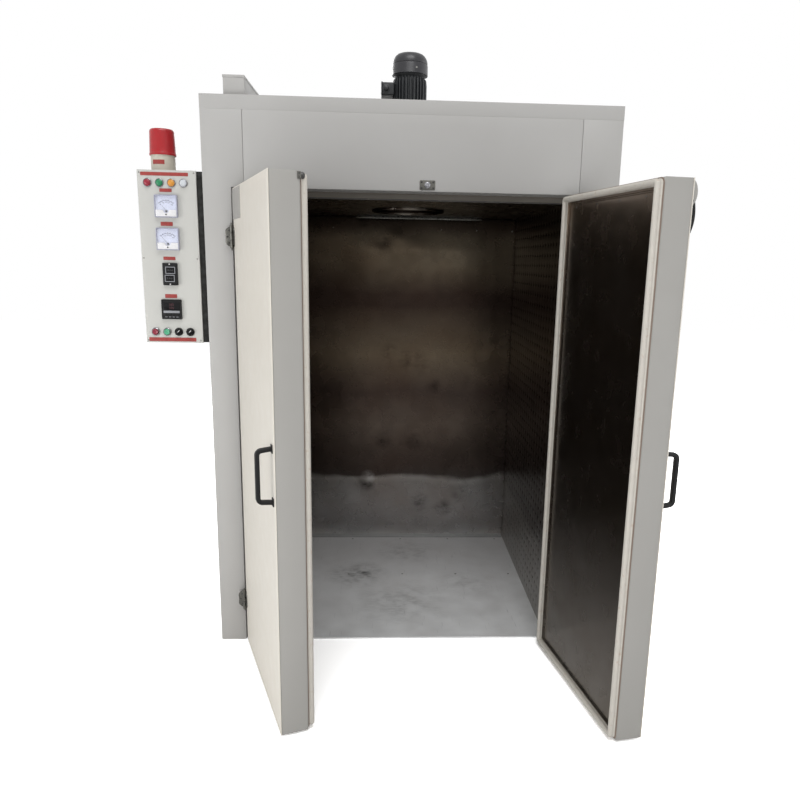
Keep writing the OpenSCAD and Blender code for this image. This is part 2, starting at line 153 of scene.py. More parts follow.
def oilCan(height, wave, seed):
    # a sheet's slight waves: height times the mean of three crossed sines of about `wave` millimetres
    k = 2 * np.pi / wave

    def shape(u, w, su, sw):
        a = np.sin(k * u + seed) * np.cos(0.7 * k * w + 2 * seed)
        b = np.sin(0.45 * k * (u + w) + 3 * seed) + np.cos(1.7 * k * (u - 0.6 * w) + seed) * 0.4
        return height * (a + b) / 2

    return shape


def pyramid(height):
    # a cross-broken sheet: it rises in straight planes from its four edges to the middle
    return lambda u, w, su, sw: height * np.minimum(np.minimum(su, 1 - su), np.minimum(sw, 1 - sw)) * 2


def turned(profile, turns=64, flutes=0, fluteDepth=0.0):
    # profile points (r, z) turned about Z: x = r cos a, y = r sin a; r may swell by depth * cos(flutes * a)
    p = np.asarray(profile, float)
    a = np.linspace(0, 2 * np.pi, turns, endpoint=False)
    r = p[:, :1] * (1 + fluteDepth / max(p[:, 0].max(), 1) * np.cos(flutes * a))
    verts = np.stack([r * np.cos(a), r * np.sin(a), np.repeat(p[:, 1:], turns, 1)], -1).reshape(-1, 3)
    faces = [tuple(f) for f in gridFaces(len(p), turns, closeCols=True)[:, ::-1].tolist()]
    last = (len(p) - 1) * turns
    return verts, faces + [tuple(range(turns))[::-1], tuple(range(last, last + turns))]


def turnedRing(profile, turns=64):
    # the same with a closed profile, for a ring: the last point joins the first
    p = np.asarray(profile, float)
    a = np.linspace(0, 2 * np.pi, turns, endpoint=False)
    verts = np.stack([p[:, :1] * np.cos(a), p[:, :1] * np.sin(a), np.repeat(p[:, 1:], turns, 1)], -1)
    faces = gridFaces(len(p), turns, closeRows=True, closeCols=True)[:, ::-1]
    return verts.reshape(-1, 3), [tuple(f) for f in faces.tolist()]


def plate(outline, depth, edge=0.8, both=False):
    # outline (x, z) anticlockwise as seen from the front, from y = 0 forward to y = -depth; its rim, or
    # with `both` each of its rims, is eased by drawing the outline in by `edge` along the mean of its
    # two neighbouring normals
    p = np.asarray(outline, float)
    ahead, behind = np.roll(p, -1, 0) - p, p - np.roll(p, 1, 0)
    normal = np.stack([ahead[:, 1], -ahead[:, 0]], 1) / np.linalg.norm(ahead, axis=1, keepdims=True)
    normal += np.stack([behind[:, 1], -behind[:, 0]], 1) / np.linalg.norm(behind, axis=1, keepdims=True)
    normal /= np.linalg.norm(normal, axis=1, keepdims=True)
    rings, back = [], ((edge, 0), (0.3 * edge, -0.3 * edge), (0, -edge)) if both else ((0, 0),)
    for inset, y in (*back, (0, -(depth - edge)), (0.3 * edge, -(depth - 0.3 * edge)), (edge, -depth)):
        q = p - normal * inset
        rings.append(np.stack([q[:, 0], np.full(len(q), float(y)), q[:, 1]], 1))
    n, count = len(p), len(rings)
    faces = [tuple(f) for f in gridFaces(count, n, closeCols=True)[:, ::-1].tolist()]
    return np.vstack(rings), faces + [tuple(range(n))[::-1], tuple(range((count - 1) * n, count * n))]


def swept(section, path, closed=False, up=(0, 0, 1)):
    # section points (side, top), anticlockwise, carried along a path: p = path + side * s + top * t, where
    # s is square to the path and to `up`; s is widened at a mitre so that the section keeps its width
    path, section = np.asarray(path, float), np.asarray(section, float)
    ahead, behind = np.roll(path, -1, 0) - path, path - np.roll(path, 1, 0)
    if not closed:
        ahead[-1], behind[0] = behind[-1], ahead[0]
    ahead /= np.linalg.norm(ahead, axis=1, keepdims=True)
    behind /= np.linalg.norm(behind, axis=1, keepdims=True)
    along = ahead + behind
    along /= np.linalg.norm(along, axis=1, keepdims=True)
    side = np.cross(along, np.asarray(up, float))
    side /= np.linalg.norm(side, axis=1, keepdims=True)
    top = np.cross(side, along)
    side /= np.clip((along * ahead).sum(1), 0.5, 1)[:, None]
    verts = path[:, None] + section[:, 0, None] * side[:, None] + section[:, 1, None] * top[:, None]
    n = len(section)
    faces = [tuple(f) for f in gridFaces(len(path), n, closeRows=closed, closeCols=True).tolist()]
    if not closed:
        last = (len(path) - 1) * n
        faces += [tuple(range(n)), tuple(range(last, last + n))[::-1]]
    return verts.reshape(-1, 3), faces


def moved(shape, turn=None, by=(0, 0, 0)):
    # p' = turn * p + by; a turn that mirrors also turns each face over
    verts = np.asarray(shape[0], float)
    faces = shape[1]
    if turn is not None:
        turn = np.asarray(turn, float)
        verts = verts @ turn.T
        if np.linalg.det(turn) < 0:
            faces = [f[::-1] for f in faces]
    return verts + np.asarray(by, float), faces


def copies(shape, places, turn=None):
    # the same shape at each place: verts + place, with faces numbered on
    verts, faces = moved(shape, turn)
    places = np.asarray(places, float)
    all_ = (verts[None] + places[:, None]).reshape(-1, 3)
    n = len(verts)
    return all_, [tuple(k * n + i for i in f) for k in range(len(places)) for f in faces]


def about(axis, degrees):
    return np.array(Matrix.Rotation(math.radians(degrees), 3, axis))


toFront = about("X", 90)  # what was turned about Z faces -Y
toBack = about("X", -90)
toLeft = about("Y", -90)
toRight = about("Y", 90)


def roundedOutline(width, height, radius, steps=5):
    # a rectangle with quarter circles for corners, anticlockwise about its centre
    q = np.linspace(0, np.pi / 2, steps + 1)
    a = np.concatenate([q + k * np.pi / 2 for k in range(4)])
    sx = np.repeat([1, -1, -1, 1], steps + 1) * (width / 2 - radius)
    sz = np.repeat([1, 1, -1, -1], steps + 1) * (height / 2 - radius)
    return np.stack([sx + radius * np.cos(a), sz + radius * np.sin(a)], 1)


def circlePoints(radius, count):
    a = np.linspace(0, 2 * np.pi, count, endpoint=False)
    return np.stack([radius * np.cos(a), radius * np.sin(a)], 1)


def crossScrew(radius, height, sink=0.2, turns=28):
    # a domed head along +Z: z = height * (1 - (r / R) ** 2.4), with a cross recess where the smaller of
    # |x| and |y| is under 0.16 R and r is under 0.62 R; the rim goes `sink` under the surface
    r = radius * np.array([0.02, 0.14, 0.2, 0.34, 0.48, 0.6, 0.7, 0.84, 0.94, 1.0])
    a = np.linspace(0, 2 * np.pi, turns, endpoint=False)
    x, y = r[:, None] * np.cos(a), r[:, None] * np.sin(a)
    z = np.repeat(height * (1 - (r[:, None] / radius) ** 2.4), turns, 1)
    arm = np.clip((0.24 * radius - np.minimum(abs(x), abs(y))) / (0.1 * radius), 0, 1)
    reach = np.clip((0.66 * radius - r[:, None]) / (0.1 * radius), 0, 1)
    z -= 0.62 * height * arm * reach
    rim = np.stack([x[-1], y[-1], np.full(turns, -sink)], -1)
    verts = np.vstack([np.stack([x, y, z], -1).reshape(-1, 3), rim])
    faces = [tuple(f) for f in gridFaces(len(r) + 1, turns, closeCols=True).tolist()]
    last = len(r) * turns
    return verts, faces + [tuple(range(turns)), tuple(range(last, last + turns))[::-1]]


def rivet(radius=3.2, height=1.4):
    # blind rivet: a low dome with a sunk middle where the mandrel broke off
    profile = [(radius, -0.3), (radius * 0.9, height * 0.75), (radius * 0.5, height), (radius * 0.36, height * 0.4)]
    return turned(profile, 10)


def hexBolt(across, height):
    # six-sided head with eased top: an outline of six corners, drawn in near the top, on a washer
    hexagon = circlePoints(across / 2 / math.cos(math.pi / 6), 6)
    head = moved(plate(hexagon, height, height * 0.25), toBack)
    head = moved(head, about("X", 180))
    washer = turned([(across * 0.85, -0.3), (across * 0.85, 1.2), (across * 0.8, 1.6), (0.2, 1.6)], 32)
    return joined(moved(head, by=(0, 0, 1.5)), washer)


# pieces go to the frame's metres here


def addPiece(name, shape, material, body, replaces=(), smooth=35, bevel=0.0):
    verts, faces = shape
    mesh = bpy.data.meshes.new(name)
    mesh.from_pydata((np.asarray(verts, float) * mm).tolist(), [], [tuple(f) for f in faces])
    mesh.validate()
    mesh.materials.append(material)
    mesh.shade_smooth()
    mesh.set_sharp_from_angle(angle=math.radians(smooth))
    obj = bpy.data.objects.new(name, mesh)
    bpy.context.scene.collection.objects.link(obj)
    if bevel:
        finish = obj.modifiers.new("ease", "BEVEL")
        finish.width = bevel * mm
        finish.segments = 2
        finish.limit_method = "ANGLE"
    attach(obj, body)
    if replaces:
        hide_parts(*replaces)
    return obj


def span(name):
    # a node's box as two arrays, in millimetres
    low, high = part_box(name)
    return np.array(low) / mm, np.array(high) / mm

# materials


def linearColour(hexText):
    # sRGB hex to linear: ((c + 0.055) / 1.055) ** 2.4, or c / 12.92 for dark values
    c = np.array([int(hexText[i:i + 2], 16) for i in (1, 3, 5)]) / 255
    c = np.where(c > 0.04045, ((c + 0.055) / 1.055) ** 2.4, c / 12.92)
    return (*c.tolist(), 1.0)


def addNode(tree, kind, settings=None, links=None):
    # one node: its attributes and socket values come from settings, its incoming links from links
    node = tree.nodes.new("ShaderNode" + kind)
    for key, value in (settings or {}).items():
        if isinstance(key, str) and hasattr(node, key):
            setattr(node, key, value)
        else:
            node.inputs[key].default_value = value
    for key, source in (links or {}).items():
        tree.links.new(source, node.inputs[key])
    return node


def rampStops(ramp, stops):
    elements = ramp.color_ramp.elements
    while len(elements) < len(stops):
        elements.new(1.0)
    for element, (at, colour) in zip(elements, stops):
        element.position = at
        element.color = linearColour(colour)


def newMaterial(name, shaderSettings):
    material = bpy.data.materials.new(name)
    material.use_nodes = True
    tree = material.node_tree
    tree.nodes.clear()
    shader = addNode(tree, "BsdfPrincipled", shaderSettings)
    addNode(tree, "OutputMaterial", links={"Surface": shader.outputs["BSDF"]})
    return material, tree, shader


def noiseOn(tree, spacing, detail=3.0, stretch=(1, 1, 1)):
    # noise on Object coordinates whose cells are about `spacing` metres wide before the stretch
    coords = addNode(tree, "TexCoord")
    mapping = addNode(tree, "Mapping", {"Scale": stretch}, {"Vector": coords.outputs["Object"]})
    return addNode(tree, "TexNoise", {"Scale": 1 / spacing, "Detail": detail},
                   {"Vector": mapping.outputs["Vector"]}).outputs["Fac"]


def ranged(tree, value, low, high, outLow, outHigh):
    return addNode(tree, "MapRange", {"From Min": low, "From Max": high, "To Min": outLow, "To Max": outHigh},
                   {"Value": value}).outputs["Result"]


def blended(tree, share, a, b, kind="MIX"):
    # colour a towards colour b by share; either may be a hex text or a socket
    settings, links = {"data_type": "RGBA", "blend_type": kind}, {"Factor": share}
    for key, colour in ((6, a), (7, b)):
        if isinstance(colour, str):
            settings[key] = linearColour(colour)
        else:
            links[key] = colour
    return addNode(tree, "Mix", settings, links).outputs[2]


def bumped(tree, shader, height, strength, distance, edgeRadius=0.0):
    settings, links = {"Strength": strength, "Distance": distance}, {"Height": height}
    if edgeRadius:
        soft = addNode(tree, "Bevel", {"samples": 4, "Radius": edgeRadius})
        links["Normal"] = soft.outputs["Normal"]
    bump = addNode(tree, "Bump", settings, links)
    tree.links.new(bump.outputs["Normal"], shader.inputs["Normal"])


def paintedMetal(name, colour, dirtColour, roughness, edgeRadius=2 * mm):
    # powder coat on sheet steel: satin, an orange peel of 3 mm cells, smudges of 150 mm, fine grey
    # wear specks of 8 mm, and grime that gathers in the lowest 350 mm
    material, tree, shader = newMaterial(name, {"IOR": 1.5})
    smudge = noiseOn(tree, 0.15, 4.0)
    coords = addNode(tree, "TexCoord")
    height = addNode(tree, "SeparateXYZ", links={"Vector": coords.outputs["Object"]})
    low = ranged(tree, height.outputs["Z"], 0.35, 0.0, 0.0, 0.35)
    share = addNode(tree, "Math", {"operation": "MULTIPLY_ADD", 1: 0.3}, {0: smudge, 2: low})
    base = blended(tree, share.outputs["Value"], colour, dirtColour)
    speck = ranged(tree, noiseOn(tree, 0.008, 5.0), 0.7, 0.78, 0.0, 0.25)
    base = blended(tree, speck, base, "#8d8880")
    tree.links.new(base, shader.inputs["Base Color"])
    rough = ranged(tree, noiseOn(tree, 0.05, 4.0), 0.3, 0.7, roughness - 0.05, roughness + 0.08)
    tree.links.new(rough, shader.inputs["Roughness"])
    bumped(tree, shader, noiseOn(tree, 3 * mm, 2.0), 0.12, 0.3 * mm, edgeRadius)
    return material


def stainlessSheet(name, levels, roughness, ripple=0.3, dust=0.0, metal=1.0, blotch=0.5, tint="#d9b8a2",
                   blotchSize=0.3, smearing=0.25, marks=()):
    # bare stainless: colour by height (levels, in metres over the floor), wandering by 60 mm, is partly
    # heat tint where the chamber runs hot and partly painted reflection, the light and dark bands of a
    # mirror-like sheet; brown tint blotches of `blotchSize`; smears of 80 mm in the gloss; shallow dents of
    # 220 mm; dust takes the metal look away where it lies, and its colour is painted shade, darker towards
    # the back; marks (place, radius, strength, colour) are broken smudges: painted reflection and shade at
    # the back sheet's dents, darker patches on the floor
    material, tree, shader = newMaterial(name, {})
    top = levels[-1][0]
    coords = addNode(tree, "TexCoord")
    height = addNode(tree, "SeparateXYZ", links={"Vector": coords.outputs["Object"]})
    wander = noiseOn(tree, 0.4, 3.0, (1, 1, 2))
    shift = addNode(tree, "Math", {"operation": "MULTIPLY_ADD", 1: 0.12}, {0: wander, 2: height.outputs["Z"]})
    share = ranged(tree, shift.outputs["Value"], 0.06, top + 0.06, 0, 1)
    ramp = addNode(tree, "ValToRGB", links={"Fac": share})
    rampStops(ramp, [(at / top, c) for at, c in levels])
    warm = ranged(tree, noiseOn(tree, blotchSize, 3.0), 0.4, 0.75, 0.0, blotch)
    base = blended(tree, warm, ramp.outputs["Color"], tint, "MULTIPLY")
    smear = noiseOn(tree, 0.08, 4.0)
    rough = ranged(tree, smear, 0.25, 0.75, roughness * (1 - smearing), roughness * (1 + smearing))
    if dust:
        lie = ranged(tree, noiseOn(tree, 0.09, 6.0), 0.3, 0.7, dust * 0.92, min(1.0, dust * 1.11))
        # painted shade: the dust colour runs from lighter at the front to darker at the back, where the chamber shades
        # the floor
        near = ranged(tree, height.outputs["Y"], 0.55, -0.45, 0.0, 1.0)
        base = blended(tree, lie, base, blended(tree, near, "#dcdbdb", "#f3f4f4"))
        tree.links.new(ranged(tree, lie, 0, 1, 1, 0), shader.inputs["Metallic"])
        scratch = ranged(tree, noiseOn(tree, 0.006, 3.0, (1, 0.05, 1)), 0.66, 0.74, 0.0, 0.25)
        base = blended(tree, scratch, base, "#8b8b8c")
    else:
        shader.inputs["Metallic"].default_value = metal
    # marks: painted reflection and shade at the back sheet's dents, darker patches on the floor
    if marks:
        cloud = ranged(tree, noiseOn(tree, 0.07, 10.0), 0.42, 0.6, 0.3, 1.0)
        grit = ranged(tree, noiseOn(tree, 0.012, 6.0, (0.45, 1, 1)), 0.3, 0.6, 0.3, 1.0)
        broken = addNode(tree, "Math", {"operation": "MULTIPLY"}, {0: cloud, 1: grit})
    for place, radius, strength, colour in marks:
        far = addNode(tree, "VectorMath", {"operation": "DISTANCE", 1: place}, {0: coords.outputs["Object"]})
        near = ranged(tree, far.outputs["Value"], radius, radius * 0.15, 0.0, strength)
        share = addNode(tree, "Math", {"operation": "MULTIPLY"}, {0: near, 1: broken.outputs["Value"]})
        base = blended(tree, share.outputs["Value"], base, colour)
    tree.links.new(base, shader.inputs["Base Color"])
    tree.links.new(rough, shader.inputs["Roughness"])
    bumped(tree, shader, noiseOn(tree, 0.22, 2.0), ripple, 4 * mm)
    return material


def smallFinish(name, colour, settings, grain, strength=0.1, edgeRadius=0.5 * mm, vary=0.15, wear=None):
    # moulded, plated or cast: the colour wanders by `vary` over 12 grains, the surface has a grain of
    # `grain` metres, and `wear` is the colour that shows through on rubbed patches of 15 mm
    material, tree, shader = newMaterial(name, settings)
    r, g, b, _ = linearColour(colour)
    dark = addNode(tree, "RGB")
    dark.outputs[0].default_value = (r * (1 - vary), g * (1 - vary), b * (1 - vary), 1)
    base = blended(tree, noiseOn(tree, grain * 12, 4.0), dark.outputs[0], colour)
    if wear:
        base = blended(tree, ranged(tree, noiseOn(tree, 0.015, 5.0), 0.6, 0.72, 0.0, 0.6), base, wear)
    tree.links.new(base, shader.inputs["Base Color"])
    rough = settings.get("Roughness", 0.5)
    tree.links.new(ranged(tree, noiseOn(tree, 0.02, 4.0), 0.3, 0.7, rough * 0.8, rough * 1.25),
                   shader.inputs["Roughness"])
    bumped(tree, shader, noiseOn(tree, grain, 2.0), strength, 0.1 * mm, edgeRadius)
    return material


# colours by height over the floor in metres, read off the photograph: partly heat tint, partly painted reflection, the
# light and dark bands that the mirror-like sheets show
backLevels = [(0.0, "#b9b8b6"), (0.05, "#989796"), (0.09, "#8a8887"), (0.16, "#8b8988"), (0.32, "#7d7b79"),
              (0.35, "#868481"), (0.375, "#3f3936"),
              (0.42, "#3d3531"), (0.50, "#3f3732"),
              (0.66, "#4d443d"), (0.84, "#403732"), (0.93, "#4f453c"), (1.04, "#615648"), (1.17, "#4f463c"),
              (1.29, "#362d28"), (1.36, "#362d28"), (1.50, "#564e42"), (1.64, "#574f43"), (1.69, "#3a322b"),
              (1.742, "#26211c")]
airLevels = [(0.0, "#9b9994"), (0.30, "#847f7a"), (0.36, "#57504b"), (0.8, "#4a3f3a"), (1.742, "#54483f")]
linerLevels = [(0.0, "#7d7872"), (0.25, "#655e57"), (0.55, "#4a423b"), (1.1, "#453d36"), (1.55, "#544b43"),
               (1.68, "#7d7064"), (1.742, "#85766a")]

greyPaint = paintedMetal("powder_coated_steel_grey", "#aeadab", "#9e9b97", 0.42)
panelPaint = paintedMetal("powder_coated_steel_panel", "#bfbfbb", "#adaca6", 0.40)
# the door paint twice: a lighter copy as painted light on the outer faces lit from the left, a darker copy as painted
# shade on the door edges, the latch housing and the corner plate
doorLitPaint = paintedMetal("powder_coated_steel_door_painted_light", "#dad5cb", "#cdc7bb", 0.36)
doorShadedPaint = paintedMetal("powder_coated_steel_door_painted_shade", "#a19f9b", "#92908b", 0.42)
wallY = span("back_liner")[0][1] * mm
# painted reflection and shade at the dents of the back sheet: dark spots, and a light one over a dark one where a dent
# bulges
dentShadeAndReflections = [((-0.205, wallY, 1.712), 0.035, 1.0, "#15110e"), ((-0.11, wallY, 1.61), 0.07, 0.9, "#241e19"),
          ((0.17, wallY, 0.862), 0.05, 0.8, "#2b2420"), ((0.07, wallY, 0.557), 0.055, 0.9, "#1f1917"),
          ((-0.105, wallY, 0.557), 0.05, 0.8, "#1f1917"), ((-0.185, wallY, 0.352), 0.045, 0.9, "#c3c1be"),
          ((-0.185, wallY, 0.315), 0.05, 0.9, "#24211f"), ((0.06, wallY, 0.985), 0.09, 0.8, "#3a3028"),
          ((-0.05, wallY, 1.03), 0.12, 0.7, "#40362c"), ((0.24, wallY, 0.174), 0.06, 0.9, "#33312f"),
          ((0.1, wallY, 0.21), 0.07, 0.7, "#3c3a38"), ((0.33, wallY, 0.26), 0.06, 0.7, "#3c3a38")]
# back, side and door-lining sheets: heat tint and painted reflection bands by height
backSteel = stainlessSheet("stainless_heat_tint_painted_reflection_back", backLevels, 0.27, 0.4, blotch=0.35, marks=dentShadeAndReflections)
airSteel = stainlessSheet("stainless_heat_tint_painted_reflection_sides", airLevels, 0.3, 0.1, blotch=0.2, tint="#c99a86",
                          smearing=0.08)
ceilingSteel = stainlessSheet("stainless_heat_tinted_ceiling", [(0.0, "#2b2621"), (1.742, "#2b2621")], 0.3, 0.2)
linerSteel = stainlessSheet("stainless_door_liner", linerLevels, 0.24, 0.4, metal=0.9, blotch=0.55, tint="#c9b9a0",
                            blotchSize=0.2, smearing=0.35)
# dust on the floor, with painted shade darker towards the back of the chamber
floorSteel = stainlessSheet("stainless_floor_dust_and_painted_shade", [(0.0, "#c4c4c3"), (1.742, "#c4c4c3")], 0.42, 0.12, dust=0.9,
                            marks=[((-0.22, 0.0, 0), 0.17, 0.6, "#4c4b48"), ((-0.2, 0.02, 0), 0.05, 0.8, "#1e1d1b"),
                                   ((0.03, 0.29, 0), 0.2, 0.4, "#5f5e5b"), ((-0.02, -0.3, 0), 0.26, 0.35, "#6a6966"),
                                   ((0.3, -0.1, 0), 0.16, 0.28, "#757471")])
# painted shade: a darker copy of the cabinet paint for the underside step of the header
lintelShadedPaint = paintedMetal("powder_coated_steel_lintel_painted_shade", "#6f6a62", "#4f4a44", 0.5)
nickelPlate = smallFinish("nickel_plated_steel", "#6a6964", {"Metallic": 1.0, "Roughness": 0.28}, 0.8 * mm,
                          wear="#33312e")
foldSteel = smallFinish("folded_stainless_grey", "#a9a9a8", {"Metallic": 0.8, "Roughness": 0.36}, 1.0 * mm)
bluedSteel = smallFinish("blued_steel", "#4d4c4b", {"Metallic": 0.7, "Roughness": 0.38}, 0.8 * mm, wear="#77736d")
beadRubber = smallFinish("brown_sealing_bead", "#7d6c60", {"Roughness": 0.6}, 1.0 * mm, 0.4)
unlitSegment = smallFinish("unlit_display_segment", "#4a2028", {"Roughness": 0.35}, 0.6 * mm)
brightSteel = smallFinish("folded_stainless_edge", "#6e6860", {"Metallic": 1.0, "Roughness": 0.3}, 1.0 * mm)
blackEnamel = smallFinish("enamelled_cast_aluminium", "#1c1f22", {"Roughness": 0.45}, 1.5 * mm, 0.25,
                          wear="#35373a")
cowlEnamel = smallFinish("enamelled_steel_cowl", "#2b2b2f", {"Roughness": 0.36}, 1.5 * mm, 0.15)
chromePlate = smallFinish("chrome_plated_steel", "#a3a3a7", {"Metallic": 1.0, "Roughness": 0.16}, 0.8 * mm, 0.05,
                          wear="#5c5c5e")
satinZinc = smallFinish("satin_zinc_die_cast", "#a9a9a3", {"Metallic": 0.7, "Roughness": 0.38}, 0.8 * mm)
screwSteel = smallFinish("zinc_plated_screw", "#9d9c98", {"Metallic": 1.0, "Roughness": 0.34}, 0.6 * mm,
                         wear="#6f6a62")
turnedSteel = smallFinish("turned_steel", "#a6a5a3", {"Metallic": 1.0, "Roughness": 0.3}, 0.8 * mm)
foamRubber = smallFinish("black_foam_rubber", "#171715", {"Roughness": 0.85}, 1.2 * mm, 0.5)
sealSilicone = smallFinish("silicone_seal_off_white", "#c9c4bb", {"Roughness": 0.5}, 2.0 * mm, 0.15,
                           wear="#b39f8f")
blackNylon = smallFinish("glass_filled_nylon_black", "#0f0f10", {"Roughness": 0.5, "Specular IOR Level": 0.3},
                         0.7 * mm, 0.3)
blackGloss = smallFinish("polycarbonate_black", "#0a0a0c", {"Roughness": 0.2, "Specular IOR Level": 0.25},
                         0.8 * mm, 0.05)
greyPlastic = smallFinish("polycarbonate_grey", "#8f9196", {"Roughness": 0.4, "IOR": 1.58}, 0.6 * mm)
whitePlastic = smallFinish("abs_white", "#e6e5e6", {"Roughness": 0.35, "IOR": 1.54}, 0.6 * mm)
beigeAbs = smallFinish("moulded_abs_beige", "#c6c0b2", {"Roughness": 0.4, "IOR": 1.54}, 0.8 * mm)
meterCase = smallFinish("polystyrene_meter_case", "#aeb0c2", {"Roughness": 0.25, "IOR": 1.59}, 0.8 * mm, 0.05)
dialCard = smallFinish("printed_dial_card", "#d9def2", {"Roughness": 0.6}, 0.4 * mm, 0.1)
dialInk = smallFinish("dial_ink_blue_black", "#2a3152", {"Roughness": 0.5}, 0.3 * mm)
stripRed = smallFinish("engraved_laminate_red", "#a83e39", {"Roughness": 0.5}, 0.8 * mm, 0.3, vary=0.45)


def lensMaterial(name, colour, deep, glow):
    # moulded acrylic: clear-coated, light goes a few millimetres in and comes back saturated
    material, tree, shader = newMaterial(name, {"Roughness": 0.3, "IOR": 1.49, "Subsurface Weight": glow,
                                                "Subsurface Scale": 6 * mm, "Coat Weight": 0.05})
    shader.inputs["Subsurface Radius"].default_value = linearColour(colour)[:3]
    haze = ranged(tree, noiseOn(tree, 9 * mm, 3.0), 0, 1, 0.0, 0.35)
    tree.links.new(blended(tree, haze, colour, deep), shader.inputs["Base Color"])
    bumped(tree, shader, noiseOn(tree, 2 * mm, 2.0), 0.05, 0.1 * mm, 0.5 * mm)
    return material


redLens = lensMaterial("acrylic_lens_red", "#a8161e", "#860f16", 0.1)
lampTints = [lensMaterial("acrylic_lens_" + name, tint, deep, 0.2) for name, tint, deep in
             (("ruby", "#9c2036", "#5f1020"), ("green", "#24875a", "#0f5434"), ("amber", "#d9983a", "#a8621a"),
              ("clear", "#cfd3d8", "#a3a9b0"))]
buttonTints = [lensMaterial("moulded_button_" + name, tint, deep, 0.1) for name, tint, deep in
               (("red", "#8c2238", "#5c1424"), ("green", "#4ea880", "#2f7d5a"))]


def windowMaterial(name):
    # clear acrylic over a dial: nearly all of it is see-through, with a faint haze of wiping marks
    material, tree, shader = newMaterial(name, {"Base Color": (0.9, 0.92, 1, 1), "IOR": 1.49, "Alpha": 0.1})
    wiped = ranged(tree, noiseOn(tree, 6 * mm, 4.0, (1, 1, 0.2)), 0.4, 0.8, 0.02, 0.07)
    tree.links.new(wiped, shader.inputs["Roughness"])
    return material


clearWindow = windowMaterial("acrylic_window")
print("materials made")

# cabinet: insulated walls clad in sheets that meet at seams, with blind rivets

wallCladding = {
    "sheet": 3.0,  # thickness of the cladding that the seams cut through
    "seam": 4.0,
    "seamDepth": [57.0],  # where the sheets meet, along the cabinet's depth
    "rivetPitch": 118.0,
    "rivetIn": 16.0,
    "wave": 1.1,
    "plinth": 64.0,
}


def sheetsAlong(low, high, axis, seams, gap):
    # the box between low and high cut at the seams, as (low, high) pairs
    ends = [low[axis]] + [s for s in seams for _ in (0, 1)] + [high[axis]]
    boxes = []
    for i in range(0, len(ends), 2):
        a, b = np.array(low, float), np.array(high, float)
        a[axis] = ends[i] + (gap / 2 if i else 0)
        b[axis] = ends[i + 1] - (gap / 2 if i + 2 < len(ends) else 0)
        boxes.append((a, b))
    return boxes


def sideWall(name, side, c):
    low, high = span(name)
    face = 0 if side < 0 else 1
    core = (low + [c["sheet"] * (side < 0), 0, 0], high - [c["sheet"] * (side > 0), 0, 0])
    shell = (np.array([low[0] if side < 0 else high[0] - c["sheet"] - 1, low[1], low[2] + c["plinth"]]),
             np.array([high[0] if side > 0 else low[0] + c["sheet"] + 1, high[1], high[2]]))
    parts = [slab(*core, radius=1)]
    for k, (a, b) in enumerate(sheetsAlong(*shell, 1, c["seamDepth"], c["seam"])):
        parts.append(slab(a, b, 1.4, 45, oilCan(c["wave"], 900, k + side), "x"))
    a, b = shell[0].copy(), shell[1].copy()
    a[2], b[2] = 0, c["plinth"] - c["seam"]
    parts.append(slab(a, b, 1.4, 60))
    z = np.arange(c["plinth"] + 40, high[2] - 30, c["rivetPitch"])
    y = np.concatenate([[low[1] + c["rivetIn"], high[1] - c["rivetIn"]],
                        [s + d for s in c["seamDepth"] for d in (-c["rivetIn"], c["rivetIn"])]])
    zz, yy = (v.ravel() for v in np.meshgrid(z, y))
    spots = np.stack([np.full(len(zz), (low, high)[face][0]), yy, zz], 1)
    low2 = np.arange(low[1] + 50, high[1] - 40, c["rivetPitch"])
    spots = np.vstack([spots, np.stack([np.full(len(low2), (low, high)[face][0]), low2,
                                        np.full(len(low2), c["plinth"] / 2)], 1)])
    addPiece(name + "_rivets", copies(rivet(), spots, toLeft if side < 0 else toRight), screwSteel, "cabinet")
    addPiece(name + "_clad", joined(*parts), greyPaint, "cabinet", [name])


sideWall("left_side_wall", -1, wallCladding)
sideWall("right_side_wall", 1, wallCladding)

backCladding = {"sheet": 3.0, "seam": 4.0, "seamWidth": [-217.0, 217.0], "rivetPitch": 118.0, "rivetIn": 16.0,
                "wave": 1.1, "plinth": 64.0, "cover": (300, 420, 1250)}  # service cover: width, height, middle


